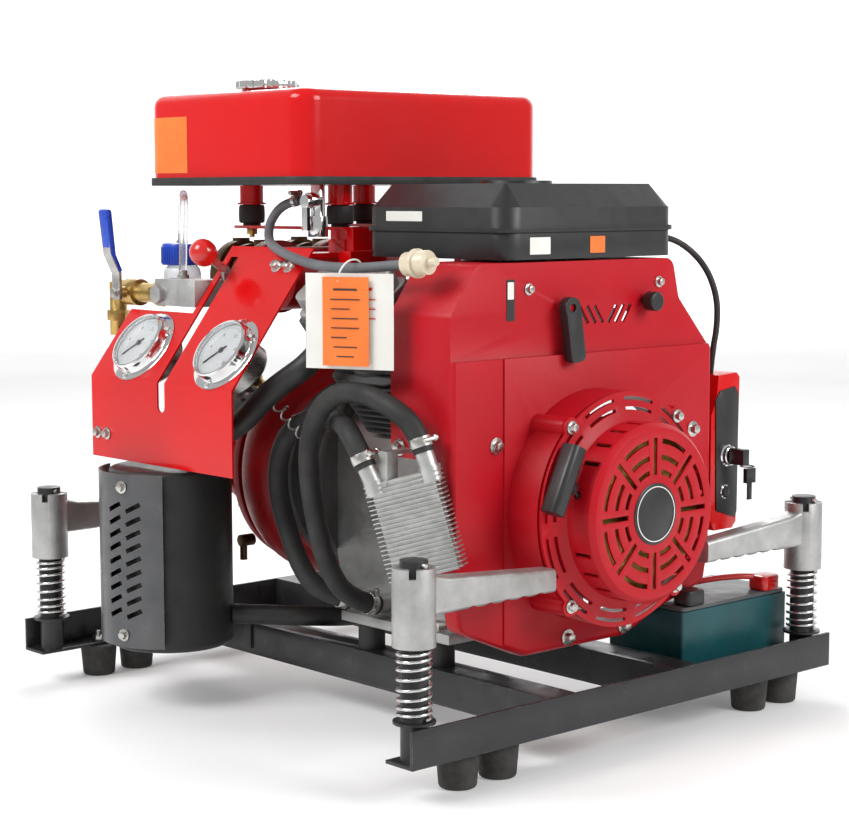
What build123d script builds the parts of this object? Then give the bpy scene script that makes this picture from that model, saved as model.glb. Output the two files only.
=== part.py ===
"""Portable fire pump: V-twin engine and centrifugal pump on a carrying frame with four sprung handles.

Frame: +X towards the recoil starter, -Y towards the gauge panel, +Z up, origin on the ground at the
centre of the footprint. Millimetres.
"""
from build123d import *
import os
from math import cos, pi, radians, sin, tan

os.makedirs("parts", exist_ok=True)

# ---------------------------------------------------------------- driving dimensions
FOOT_HEIGHT = 42.0
BAR = 44.0                      # leg width of the angle bars
BAR_T = 4.0                     # leg thickness
HALF_X = 396.0                  # outer faces of the end bars
HALF_Y = 366.0                  # ends of the end bars
BAR_TOP = FOOT_HEIGHT + BAR - 1.0
RAIL_FRONT_Y = -154.0
RAIL_REAR_Y = 62.0
POST_X = 370.0
POST_Y = 340.0
POST_R = 15.5
CUP_TOP = 89.0                  # spring seat welded on each post
HUB_R = 24.3
HUB_LOW = 171.0
HUB_HIGH = 258.0
RUN_GAP = 0.08                  # radial running clearance
CLEAR = 0.3                     # gap between neighbouring moving pieces
CRANK_Z = 284.0
SHAFT_R = 17.5
BANK_TILT = 38.0                # each cylinder leans this far from vertical
DECK = 130.0                    # crank axis to crankcase deck
SHROUD_X = 311.0                # front face of the fan shroud
DRUM_R = 141.0
RECOIL_R = 107.0
RECOIL_BACK = 362.3
RECOIL_FRONT = 414.0
ROPE_X = 386.0
REEL_R = 40.0
ROPE_OFFSET = 42.5              # rope line to crank axis
OUTLET_Y = 52.0
OUTLET_Z = 545.0
TANK_LOW = (-334.0, -198.0, 679.0)
TANK_HIGH = (6.0, 222.0, 790.0)
FILLER = (-150.0, -131.0)
PANEL_Y = -310.0                # upright face of the gauge panel
PANEL_LOW_Z = 313.0
PANEL_FOLD_Z = 420.0
PANEL_TOP = (-180.0, 590.7)     # Y and Z of the top of its slope
PANEL_T = 2.5
PANEL_X = (-306.0, 4.0)
SLOT_X = -146.0
GAUGE_XS = (-226.0, -46.0)
GAUGE_YZ = (-279.5, 460.0)
LEVER_PIVOT = (-175.0, 395.0)   # Y and Z of the priming lever's pin
VALVE_AXIS = (-222.0, 526.0)    # Y and Z of the drain ball valve
VALVE_STEM_X = -331.0
MUFFLER = (-183.0, -272.0)
MUFFLER_R = 80.0

CRANK_AXIS = Axis((0, 0, CRANK_Z), (1, 0, 0))
CRANK_PLANE = Plane(origin=(0, 0, CRANK_Z), x_dir=(1, 0, 0), z_dir=(0, -1, 0))
BASE = (Align.CENTER, Align.CENTER, Align.MIN)
LOW_CORNER = (Align.MIN, Align.MIN, Align.MIN)


# ---------------------------------------------------------------- helpers
def rod(start, along, radius, length, mode=Mode.ADD):
    """A round bar from start, along a direction."""
    with Locations(Plane(origin=start, z_dir=along)):
        Cylinder(radius, length, align=BASE, mode=mode)


def block(low, high, mode=Mode.ADD):
    """A box between two corners."""
    with Locations(low):
        Box(high[0] - low[0], high[1] - low[1], high[2] - low[2], align=LOW_CORNER, mode=mode)


def hexagon(start, along, across_flats, length, mode=Mode.ADD):
    """A hexagonal prism from start, along a direction."""
    with BuildSketch(Plane(origin=start, z_dir=along)) as profile:
        RegularPolygon(across_flats / 2, 6, major_radius=False)
    extrude(profile.sketch, amount=length, mode=mode)


def turned(points, mode=Mode.ADD):
    """A body turned about the crank axis, from (X, radius) points."""
    with BuildSketch(CRANK_PLANE) as profile:
        with BuildLine():
            Polyline(*points, close=True)
        make_face()
    revolve(profile.sketch, axis=CRANK_AXIS, mode=mode)


def washer_bolt(start, along, flats=10.0, head=6.0, washer=9.0):
    """A hex head on a flat washer, standing on a face at start."""
    direction = Vector(*along).normalized()
    rod(start, along, washer, 1.6)
    hexagon(Vector(*start) + direction * 1.6, along, flats, head)


def route_radii(points):
    """The largest tangent arcs that the runs of a hose's route allow."""
    radii = []
    for before, here, after in zip(points, points[1:], points[2:]):
        first = Vector(*here) - Vector(*before)
        second = Vector(*after) - Vector(*here)
        half_turn = radians(first.get_angle(second)) / 2
        radii.append(0.45 * min(first.length, second.length) / tan(half_turn))
    return radii


def hose(points, radius):
    """A tube of straight runs joined by tangent arcs."""
    radii = route_radii(points)
    start = Plane(origin=points[0], z_dir=Vector(*points[1]) - Vector(*points[0]))
    with BuildLine() as route:
        FilletPolyline(*points, radius=radii)
    with BuildSketch(start) as section:
        Circle(radius)
    path = route.wire()
    sweep(section.sketch, path=path)
    print("   hose radii", [round(value) for value in radii], "length", round(path.length))
    print("   section x length", round(pi * radius ** 2 * path.length))


def arc_slot(start_x, radius, angle, span, width):
    """Cut a slot along an arc about the crank axis, 14 mm deep along X."""
    with BuildSketch(Plane(origin=(start_x, 0, CRANK_Z), x_dir=(0, 1, 0), z_dir=(1, 0, 0))) as cut:
        with BuildLine():
            outer_arc = CenterArc((0, 0), radius + width / 2, angle, span)
            inner_arc = CenterArc((0, 0), radius - width / 2, angle, span)
            Line(outer_arc @ 0, inner_arc @ 0)
            Line(outer_arc @ 1, inner_arc @ 1)
        make_face()
    extrude(cut.sketch, amount=14, mode=Mode.SUBTRACT)


def save(body, label):
    """Label a finished node and write its STEP."""
    body.part.label = label
    export_step(body.part, "parts/" + label + ".step")
    print(label, round(body.part.volume))


# ---------------------------------------------------------------- carrying frame
with BuildPart() as base_frame:
    with BuildSketch(Plane.XZ) as end_bar:
        with BuildLine():
            Polyline((HALF_X - BAR, FOOT_HEIGHT), (HALF_X, FOOT_HEIGHT), (HALF_X, BAR_TOP),
                     (HALF_X - BAR_T, BAR_TOP), (HALF_X - BAR_T, FOOT_HEIGHT + BAR_T),
                     (HALF_X - BAR, FOOT_HEIGHT + BAR_T), close=True)
        make_face()
    extrude(amount=HALF_Y, both=True)
    mirror(about=Plane.YZ)
    for rail_y in (RAIL_FRONT_Y, RAIL_REAR_Y):
        with BuildSketch(Plane.YZ) as rail:
            with BuildLine():
                Polyline((rail_y, FOOT_HEIGHT + BAR_T), (rail_y + BAR_T, FOOT_HEIGHT + BAR_T),
                         (rail_y + BAR_T, BAR_TOP - BAR_T), (rail_y + BAR, BAR_TOP - BAR_T),
                         (rail_y + BAR, BAR_TOP), (rail_y, BAR_TOP), close=True)
            make_face()
        extrude(amount=HALF_X - BAR_T, both=True)
        block((BAR - HALF_X, rail_y, FOOT_HEIGHT), (HALF_X - BAR, rail_y + BAR_T, FOOT_HEIGHT + BAR_T))
    # battery tray, welded between the rear rail and the end bar
    tray_y = RAIL_REAR_Y + BAR_T
    tray_z = FOOT_HEIGHT + BAR_T
    block((205, tray_y, tray_z), (HALF_X - BAR_T, 350, tray_z + 2))
    block((205, tray_y, tray_z + 2), (207, 350, tray_z + 16))
    block((207, 348, tray_z + 2), (HALF_X - BAR_T, 350, tray_z + 16))
    for foot_y in (240, 302):
        rod((364, foot_y, tray_z - 0.5), (0, 0, 1), 9, 3, Mode.SUBTRACT)
    # tab under the muffler's foot
    block((-205, RAIL_FRONT_Y - 4, 50), (-165, RAIL_FRONT_Y, 91.7))
    # holes for the feet and the engine mounts
    for side in (-1, 1):
        for foot_y in (-270, -208, 240, 302):
            rod((side * 364, foot_y, FOOT_HEIGHT - 1), (0, 0, 1), 4.3, 8, Mode.SUBTRACT)
    for mount_x in (56, 186):
        for mount_y in (-132, 88):
            rod((mount_x, mount_y, BAR_TOP - 10), (0, 0, 1), 5.3, 20, Mode.SUBTRACT)
    # corner posts with their spring cups
    for side_x in (-1, 1):
        for side_y in (-1, 1):
            foot = (side_x * POST_X, side_y * POST_Y)
            rod((*foot, FOOT_HEIGHT + BAR_T), (0, 0, 1), POST_R, 266 - FOOT_HEIGHT - BAR_T)
            rod((*foot, BAR_TOP + 1), (0, 0, 1), 24, CUP_TOP - BAR_TOP - 1)
            rod((*foot, 150), (0, 0, 1), POST_R - 3, 100, Mode.SUBTRACT)
            rod((foot[0] - 22, foot[1], 261.3), (1, 0, 0), 2.55, 44, Mode.SUBTRACT)
save(base_frame, "base_frame")

with BuildPart() as rubber_feet:
    for side in (-1, 1):
        for foot_y in (-270, -208, 240, 302):
            with Locations((side * 364, foot_y, 0)):
                Cone(21.5, 25, FOOT_HEIGHT, align=BASE)
            rod((side * 364, foot_y, 0), (0, 0, 1), 9, 12, Mode.SUBTRACT)
            rod((side * 364, foot_y, 12), (0, 0, 1), 4.05, 31, Mode.SUBTRACT)
    chamfer(rubber_feet.edges().filter_by(GeomType.CIRCLE).group_by(Axis.Z)[0].filter_by(
        lambda rim: rim.radius > 15), 2)
save(rubber_feet, "rubber_feet")


# ---------------------------------------------------------------- carrying handles and their springs
def carrying_handle(side_x, side_y):
    """A cast handle: a castellated hub on the post and a finger grip folded inwards."""
    with BuildPart() as handle:
        centre_x = side_x * POST_X
        centre_y = side_y * POST_Y
        with BuildSketch(Plane.YZ.offset(centre_x)) as side_view:
            with BuildLine():
                Polyline((centre_y - side_y * 12, 203), (centre_y - side_y * 206, 204),
                         (centre_y - side_y * 206, 231), (centre_y - side_y * 40, 243),
                         (centre_y - side_y * 12, 250), close=True)
            make_face()
        extrude(side_view.sketch, amount=13.5, both=True)
        fillet(handle.edges().filter_by(lambda edge: abs((edge % 0.5).Y) > 0.9), 5)
        for finger in range(5):
            spot = centre_y - side_y * (78 + 26 * finger)
            rod((centre_x - 20, spot, 192), (1, 0, 0), 15, 40, Mode.SUBTRACT)
        rod((centre_x, centre_y, HUB_LOW), (0, 0, 1), HUB_R, HUB_HIGH - HUB_LOW)
        rod((centre_x, centre_y, HUB_LOW - 1), (0, 0, 1), POST_R + RUN_GAP, 100, Mode.SUBTRACT)
        for turn in range(2):
            with Locations(Location((centre_x, centre_y, HUB_HIGH), (0, 0, 45 + 90 * turn))):
                Box(60, 8, 20, mode=Mode.SUBTRACT)
    return handle


def handle_spring(side_x, side_y):
    """A compression spring round the post, from the cup to the handle's hub."""
    wire = 1.3
    low = CUP_TOP + wire + CLEAR
    height = HUB_LOW - CLEAR - wire - low
    with BuildPart() as spring:
        with BuildLine() as coil:
            Helix(height / 7.5, height, 17.7, center=(side_x * POST_X, side_y * POST_Y, low))
        with BuildSketch(Plane(origin=coil.line @ 0, z_dir=coil.line % 0)) as section:
            Circle(wire)
        sweep(section.sketch, path=coil.line, is_frenet=True)
    return spring


CORNERS = {"front_right": (1, -1), "rear_right": (1, 1), "front_left": (-1, -1), "rear_left": (-1, 1)}
for corner, sides in CORNERS.items():
    save(carrying_handle(*sides), "handle_" + corner)
    save(handle_spring(*sides), "spring_" + corner)


# ---------------------------------------------------------------- engine
with BuildPart() as rubber_mounts:
    for mount_x in (56, 186):
        for mount_y in (-132, 88):
            rod((mount_x, mount_y, BAR_TOP), (0, 0, 1), 17, 33)
            rod((mount_x, mount_y, BAR_TOP), (0, 0, 1), 5.3, 33, Mode.SUBTRACT)
    for rubber_x in (-228, -40):
        for rubber_y in (-100, 100):
            rod((rubber_x, rubber_y, 616), (0, 0, 1), 12, 54)
            rod((rubber_x, rubber_y, 634), (0, 0, 1), 16, 8)
save(rubber_mounts, "rubber_mounts")

BANKS = {"left": (-1, 95.0), "right": (1, 75.0)}


def bank_plane(side, centre_x, distance):
    """A plane square to a cylinder's axis, at a distance from the crank axis, with X along the engine."""
    tilt = radians(BANK_TILT)
    along = (0, side * sin(tilt), cos(tilt))
    origin = (centre_x, along[1] * distance, CRANK_Z + along[2] * distance)
    return Plane(origin=origin, x_dir=(1, 0, 0), z_dir=along)


with BuildPart() as crankcase:
    tilt = radians(BANK_TILT)
    deck_y = DECK * sin(tilt)
    deck_z = CRANK_Z + DECK * cos(tilt)
    reach = 55.0
    outer = (deck_y + reach * cos(tilt), deck_z - reach * sin(tilt))
    inner = (deck_y - reach * cos(tilt), deck_z + reach * sin(tilt))
    with BuildSketch(Plane.YZ.offset(-20)) as section:
        with BuildLine():
            Polyline((-115, 130), (115, 130), (125, 200), outer, inner, (-inner[0], inner[1]),
                     (-outer[0], outer[1]), (-125, 200), close=True)
        make_face()
    extrude(section.sketch, amount=210)
    block((20, -152, 118), (222, 112, 130))
    rod((0, 0, CRANK_Z), (1, 0, 0), 96, 170, Mode.SUBTRACT)
    rod((-21, 0, CRANK_Z), (1, 0, 0), 31, 212, Mode.SUBTRACT)
    for side, centre_x in BANKS.values():
        with BuildSketch(bank_plane(side, centre_x, 60)) as bore:
            Circle(39)
        extrude(bore.sketch, amount=80, mode=Mode.SUBTRACT)
    for fitting_x in (34, 84):
        rod((fitting_x, -110, 146), (0, -1, 0), 12, 38)
    for mount_x in (56, 186):
        for mount_y in (-132, 88):
            rod((mount_x, mount_y, 117), (0, 0, 1), 5.3, 14, Mode.SUBTRACT)
    # dipstick boss and oil filter seat
    rod((150, -120, 190), (0, -1, 0), 38, 14)
    rod((150, -134, 190), (0, -1, 0), 36, 6)
save(crankcase, "crankcase")

with BuildPart() as cylinders:
    for side, centre_x in BANKS.values():
        with BuildSketch(bank_plane(side, centre_x, DECK)) as barrel:
            Circle(47)
            Circle(39, mode=Mode.SUBTRACT)
        extrude(barrel.sketch, amount=105)
        for fin in range(10):
            with BuildSketch(bank_plane(side, centre_x, DECK + 10 + 9.5 * fin)) as fin_face:
                RectangleRounded(124, 112, 20)
                Circle(45, mode=Mode.SUBTRACT)
            extrude(fin_face.sketch, amount=2.5)
        with BuildSketch(bank_plane(side, centre_x, DECK + 105)) as head:
            RectangleRounded(140, 90, 12)
        extrude(head.sketch, amount=75)
        with BuildSketch(bank_plane(side, centre_x, DECK + 180)) as cover:
            RectangleRounded(128, 70, 16)
        extrude(cover.sketch, amount=30)
        with BuildSketch(bank_plane(side, centre_x, DECK + 180)) as rim:
            RectangleRounded(138, 80, 16)
        extrude(rim.sketch, amount=7)
save(cylinders, "cylinders")

with BuildPart() as crankshaft:
    rod((-190, 0, CRANK_Z), (1, 0, 0), SHAFT_R, 234)
    rod((130, 0, CRANK_Z), (1, 0, 0), SHAFT_R, 210)
    for web_x in (30, 130):
        rod((web_x, 0, CRANK_Z), (1, 0, 0), 62, 14)
    rod((44, 0, CRANK_Z + 32), (1, 0, 0), 19, 86)
save(crankshaft, "crankshaft")

with BuildPart() as main_bearings:
    for bearing_x in (-20, 172):
        rod((bearing_x, 0, CRANK_Z), (1, 0, 0), 31, 18)
    rod((-128, 0, CRANK_Z), (1, 0, 0), 24, 16)
    rod((-140, 0, CRANK_Z), (1, 0, 0), SHAFT_R + RUN_GAP, 340, Mode.SUBTRACT)
save(main_bearings, "main_bearings")

with BuildPart() as flywheel_fan:
    rod((262, 0, CRANK_Z), (1, 0, 0), 112, 7)
    rod((244, 0, CRANK_Z), (1, 0, 0), 34, 60)
    rod((304, 0, CRANK_Z), (1, 0, 0), 46, 4)
    turned([(308, 42), (334, 42), (334, 46), (308, 46)])
    with BuildSketch(Plane.YZ.offset(269)) as blades:
        with Locations((0, CRANK_Z)):
            with PolarLocations(92, 16):
                Rectangle(36, 3, rotation=25)
    extrude(blades.sketch, amount=28)
    rod((243, 0, CRANK_Z), (1, 0, 0), SHAFT_R, 62, Mode.SUBTRACT)
    rod((300, 0, CRANK_Z), (1, 0, 0), SHAFT_R, 10, Mode.SUBTRACT)
save(flywheel_fan, "flywheel_fan")

# ---------------------------------------------------------------- pump
with BuildPart() as pump_adapter:
    turned([(-20, 60), (-20, 150), (-34, 150), (-34, 124), (-42, 122), (-112, 104), (-112, 128), (-128, 128),
            (-128, 24), (-112, 24), (-112, 90), (-34, 108), (-34, 60)])
    for ear in range(4):
        angle = radians(45 + 90 * ear)
        rod((-34, 138 * cos(angle), CRANK_Z + 138 * sin(angle)), (1, 0, 0), 14, 14)
save(pump_adapter, "pump_adapter")

with BuildPart() as pump_casing:
    turned([(-128.2, 22), (-128.2, 128), (-150, 128), (-215, 128), (-215, 100), (-142, 100), (-142, 22)])
    with BuildSketch(CRANK_PLANE) as scroll:
        with Locations((-178, 112)):
            Circle(38)
    revolve(scroll.sketch, axis=CRANK_AXIS)
    # discharge riser, cross manifold and two outlet ports
    rod((-178, 0, CRANK_Z + 110), (0, 0, 1), 38, OUTLET_Z - CRANK_Z - 110)
    rod((-178, -98, OUTLET_Z), (0, 1, 0), 42, 196)
    for side in (-1, 1):
        rod((-178, side * OUTLET_Y, OUTLET_Z), (-1, 0, 0), 36, 60)
        rod((-228, side * OUTLET_Y, OUTLET_Z), (-1, 0, 0), 50, 12)
    with BuildSketch(CRANK_PLANE) as scroll_bore:
        with Locations((-178, 112)):
            Circle(31)
    revolve(scroll_bore.sketch, axis=CRANK_AXIS, mode=Mode.SUBTRACT)
    turned([(-142, 23), (-142, 112), (-215, 112), (-215, 23)], Mode.SUBTRACT)
    rod((-178, 0, CRANK_Z + 118), (0, 0, 1), 29, OUTLET_Z - CRANK_Z - 118, Mode.SUBTRACT)
    rod((-178, -88, OUTLET_Z), (0, 1, 0), 33, 176, Mode.SUBTRACT)
    for side in (-1, 1):
        rod((-178, side * OUTLET_Y, OUTLET_Z), (-1, 0, 0), 28, 70, Mode.SUBTRACT)
    # suction cover and its male coupling
    turned([(-215.2, 95), (-215.2, 138), (-227, 138), (-227, 112), (-234, 72), (-330, 62), (-330, 74),
            (-344, 74), (-344, 64), (-414, 64), (-414, 50), (-300, 50), (-222, 56), (-222, 95)])
save(pump_casing, "pump_casing")

with BuildPart() as impeller:
    rod((-158, 0, CRANK_Z), (1, 0, 0), 92, 5)
    rod((-190, 0, CRANK_Z), (1, 0, 0), 26, 34)
    with BuildSketch(Plane.YZ.offset(-186)) as vanes:
        with Locations((0, CRANK_Z)):
            with PolarLocations(58, 7):
                Rectangle(62, 4, rotation=38)
    extrude(vanes.sketch, amount=28)
    rod((-191, 0, CRANK_Z), (1, 0, 0), SHAFT_R, 40, Mode.SUBTRACT)
save(impeller, "impeller")

with BuildPart() as outlet_valves:
    for side in (-1, 1):
        outlet = (side * OUTLET_Y, OUTLET_Z)
        rod((-240.2, *outlet), (-1, 0, 0), 49, 12)
        rod((-250, *outlet), (-1, 0, 0), 38, 44)
        rod((-292, *outlet), (-1, 0, 0), 44, 16)
        rod((-239, *outlet), (-1, 0, 0), 28, 80, Mode.SUBTRACT)
        rod((-268, outlet[0], OUTLET_Z + 34), (0, 0, 1), 12, 16)
    rod((-178, -143, 196), (0, -1, 0), 8, 20)
    rod((-178, -158, 190), (0, 0, -1), 5, 20)
save(outlet_valves, "outlet_valves")


def outlet_cap(side):
    """A push-on coupling cap with two lugs."""
    with BuildPart() as cap:
        outlet = (side * OUTLET_Y, OUTLET_Z)
        rod((-309, *outlet), (-1, 0, 0), 49, 16)
        rod((-325, *outlet), (-1, 0, 0), 30, 10)
        rod((-300, *outlet), (-1, 0, 0), 27.6, 10)
        for lug in (-1, 1):
            lug_z = OUTLET_Z + 40 * lug
            block((-325, outlet[0] - 9, lug_z - 8), (-309, outlet[0] + 9, lug_z + 12))
    return cap


save(outlet_cap(-1), "outlet_cap_left")
save(outlet_cap(1), "outlet_cap_right")


# ---------------------------------------------------------------- fan shroud and recoil starter
def shroud_face(inset):
    """The outline of the shroud's front, drawn inside its outer line by inset."""
    with BuildSketch(Plane.YZ) as face:
        with BuildLine():
            Polyline((-110, 112), (66, 112), (128, 137), (214, 160), (224, 205), (224, 465), (166, 528),
                     (154, 578), (-182, 578), (-224, 520), (-224, 205), (-214, 156), close=True)
        make_face()
        fillet(face.vertices(), 16)
        if inset:
            offset(amount=-inset, mode=Mode.REPLACE)
    return face.sketch


with BuildPart() as fan_shroud:
    extrude(shroud_face(0), amount=SHROUD_X)
    fillet(fan_shroud.edges().group_by(Axis.X)[-1], 8)
    block((-1, -300, 100), (200, 300, 600), Mode.SUBTRACT)
    block((199, -300, 100), (286, 300, 352), Mode.SUBTRACT)
    extrude(shroud_face(3), amount=SHROUD_X - 11, mode=Mode.SUBTRACT)
    block((SHROUD_X - 8, -300, 468), (SHROUD_X + 1, 300, 600), Mode.SUBTRACT)
    block((SHROUD_X - 2, -300, 100), (SHROUD_X + 1, -146, 469), Mode.SUBTRACT)
    with BuildSketch(Plane.YZ.offset(286)) as lower_pocket:
        with Locations((0, 300)):
            RectangleRounded(380, 300, 40)
    extrude(lower_pocket.sketch, amount=SHROUD_X - 286 - 3, mode=Mode.SUBTRACT)
    rod((SHROUD_X - 3, 0, CRANK_Z), (1, 0, 0), DRUM_R, 51)
    for side_y in (-1, 1):
        for side_z in (-1, 1):
            rod((SHROUD_X, side_y * 92, CRANK_Z + side_z * 105), (1, 0, 0), 12, 51)
    rod((SHROUD_X - 12, 0, CRANK_Z), (1, 0, 0), DRUM_R - 4, 70, Mode.SUBTRACT)
    # louvres beside the throttle lever, the lever's pin and the choke's hole
    for side, first_y in ((1, -6), (-1, 44)):
        for louvre in range(3):
            with Locations(Location((SHROUD_X - 8, first_y + 13 * louvre, 513), (35 * side, 0, 0))):
                Box(12, 5, 26, mode=Mode.SUBTRACT)
    rod((SHROUD_X - 12, -47, 524), (1, 0, 0), 5, 22)
    rod((SHROUD_X - 20, 102, 526), (1, 0, 0), 5.2, 20, Mode.SUBTRACT)
    block((250, 223, 300), (290, 235.8, 360))
save(fan_shroud, "fan_shroud")

ROPE_IN = Vector(0, 0.77, -0.64).normalized()
ROPE_NEAR = Vector(ROPE_X, 0, CRANK_Z) + Vector(0, -0.64, -0.77).normalized() * ROPE_OFFSET
with BuildPart() as recoil_housing:
    turned([(RECOIL_BACK, 103), (RECOIL_BACK, DRUM_R), (RECOIL_BACK + 4, DRUM_R), (RECOIL_BACK + 4, 127),
            (RECOIL_BACK + 9, RECOIL_R + 6), (RECOIL_BACK + 12, RECOIL_R), (RECOIL_FRONT - 6, RECOIL_R),
            (RECOIL_FRONT, RECOIL_R - 6), (RECOIL_FRONT, 0), (RECOIL_FRONT - 3, 0),
            (RECOIL_FRONT - 3, RECOIL_R - 7), (RECOIL_FRONT - 7, RECOIL_R - 4),
            (RECOIL_BACK + 6, RECOIL_R - 4)])
    for side_y in (-1, 1):
        for side_z in (-1, 1):
            rod((RECOIL_BACK, side_y * 92, CRANK_Z + side_z * 105), (1, 0, 0), 12, 4)
    rod((372, 0, CRANK_Z), (1, 0, 0), 8, RECOIL_FRONT - 374)
    for slot in range(8):
        for ring_r, span in ((50, 22), (67, 27), (86, 29)):
            arc_slot(RECOIL_FRONT - 8, ring_r, 45 * slot + 22.5 - span / 2, span, 6)
        spoke = radians(45 * slot)
        middle = (RECOIL_FRONT - 2, 68 * cos(spoke), CRANK_Z + 68 * sin(spoke))
        with Locations(Location(middle, (45 * slot, 0, 0))):
            Box(12, 44, 6, mode=Mode.SUBTRACT)
    for slot in range(12):
        for ring_r in (121, 133):
            arc_slot(RECOIL_BACK - 1, ring_r, 30 * slot + 9, 22, 4)
    for slot in range(24):
        if slot not in (10, 11, 12):
            with Locations(Location((RECOIL_BACK + 29, 0, CRANK_Z), (15 * slot + 7.5, 0, 0))):
                with Locations((0, RECOIL_R - 2, 0)):
                    Box(24, 16, 6, mode=Mode.SUBTRACT)
    entry = ROPE_NEAR - ROPE_IN * 110
    rod(tuple(entry), tuple(ROPE_IN), 5, 30, Mode.SUBTRACT)
save(recoil_housing, "recoil_housing")

with BuildPart() as starter_reel:
    rod((379, 0, CRANK_Z), (1, 0, 0), REEL_R, 14)
    rod((376, 0, CRANK_Z), (1, 0, 0), 96, 3)
    rod((393, 0, CRANK_Z), (1, 0, 0), 96, 3)
    rod((370, 0, CRANK_Z), (1, 0, 0), 8 + RUN_GAP, 40, Mode.SUBTRACT)
save(starter_reel, "starter_reel")

with BuildPart() as starter_handle:
    grip_centre = ROPE_NEAR - ROPE_IN * 128
    bar_way = Vector(0, 0.44, 0.9).normalized()
    with BuildSketch(Plane(origin=grip_centre - bar_way * 41, x_dir=(1, 0, 0), z_dir=bar_way)) as grip:
        RectangleRounded(26, 22, 7)
    extrude(grip.sketch, amount=82)
    rod(tuple(grip_centre + ROPE_IN * 2), tuple(ROPE_IN), 9, 16)
    rod(tuple(grip_centre + ROPE_IN * 18.2), tuple(ROPE_IN), 2, 188)
save(starter_handle, "starter_handle")

with BuildPart() as throttle_lever:
    with BuildSketch(Plane.YZ.offset(SHROUD_X + 2)) as lever_face:
        with Locations((-47, 524)):
            Circle(12.5)
        with Locations((-41, 492)):
            RectangleRounded(24, 66, 7, rotation=9)
        with Locations((-47, 524)):
            Circle(5 + RUN_GAP, mode=Mode.SUBTRACT)
    extrude(lever_face.sketch, amount=12)
save(throttle_lever, "throttle_lever")

with BuildPart() as choke_knob:
    rod((SHROUD_X - 16, 102, 526), (1, 0, 0), 5, 16)
    rod((SHROUD_X, 102, 526), (1, 0, 0), 12, 15)
    fillet(choke_knob.edges().group_by(Axis.X)[-1], 3)
save(choke_knob, "choke_knob")


# ---------------------------------------------------------------- intake, exhaust and fuel
def cleaner_face(plane, grow):
    """The air cleaner's plan, grown outwards."""
    with BuildSketch(plane) as plan:
        with BuildLine():
            Polyline((48 - grow, -135 - grow), (300 + grow, -135 - grow), (300 + grow, 165 + grow),
                     (48 - grow, 165 + grow), close=True)
        make_face()
        fillet(plan.vertices(), 26)
    return plan.sketch


with BuildPart() as air_cleaner_base:
    extrude(cleaner_face(Plane.XY.offset(581), 0), amount=32)
    extrude(cleaner_face(Plane.XY.offset(585), -4), amount=29, mode=Mode.SUBTRACT)
    rod((95, 20, 580), (0, 0, 1), 20, 6, Mode.SUBTRACT)
save(air_cleaner_base, "air_cleaner_base")

with BuildPart() as air_cleaner_cover:
    extrude(cleaner_face(Plane.XY.offset(613), 3), amount=6)
    extrude(cleaner_face(Plane.XY.offset(619), 0), amount=23)
    extrude(cleaner_face(Plane.XY.offset(642), -1), amount=28, taper=40)
    rod((170, 10, 670), (0, 0, 1), 45, 4)
save(air_cleaner_cover, "air_cleaner_cover")

with BuildPart() as carburettor:
    rod((95, 20, 520), (0, 0, 1), 24, 60.8)
    block((65, -8, 500), (125, 48, 545))
    rod((95, -119, 530), (0, 1, 0), 15, 238)
    rod((95, 20, 470), (0, 0, 1), 22, 30)
save(carburettor, "carburettor")

LEFT_PIPE = [(50, -205.8, 468.8), (46, -228, 448), (-6, -244, 414), (-62, -252, 366), (-120, -258, 344),
             (-152, -262, 308)]
RIGHT_PIPE = [(50, 205.8, 468.8), (44, 228, 446), (-20, 232, 390), (-34, 216, 310), (-36, 200, 215),
              (-38, 160, 130), (-38, 90, 104), (-38, 0, 101), (-40, -90, 104), (-60, -150, 110),
              (-126, -214, 112)]
with BuildPart() as muffler:
    rod((*MUFFLER, 75), (0, 0, 1), MUFFLER_R, 233)
    fillet(muffler.edges().filter_by(GeomType.CIRCLE), 8)
    rod((*MUFFLER, 79), (0, 0, 1), MUFFLER_R - 4, 225, Mode.SUBTRACT)
    block((-205, -194, 92), (-165, -154.2, 97))
    hose(LEFT_PIPE, 15)
    hose(RIGHT_PIPE, 13)
save(muffler, "muffler")

with BuildPart() as muffler_guard:
    with BuildSketch(Plane(origin=(*MUFFLER, 84))) as wrap:
        Circle(92)
        Circle(90, mode=Mode.SUBTRACT)
        with BuildLine():
            far = [(220 * cos(radians(turn)), 220 * sin(radians(turn))) for turn in (205, 262, 319)]
            Polyline((0, 0), *far, close=True)
        make_face(mode=Mode.INTERSECT)
    extrude(wrap.sketch, amount=222)
    for column in (275, 294):
        for row in range(9):
            spot = radians(column)
            middle = (MUFFLER[0] + 91 * cos(spot), MUFFLER[1] + 91 * sin(spot), 128 + 17 * row)
            with Locations(Location(middle, (0, 0, column))):
                with Locations(Location((0, 0, 0), (25, 0, 0))):
                    Box(20, 24, 6, mode=Mode.SUBTRACT)
    for stand in (215, 284):
        for level in (100, 290):
            spot = radians(stand)
            rod((MUFFLER[0] + MUFFLER_R * cos(spot), MUFFLER[1] + MUFFLER_R * sin(spot), level),
                (cos(spot), sin(spot), 0), 4, 10.3)
save(muffler_guard, "muffler_guard")

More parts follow.
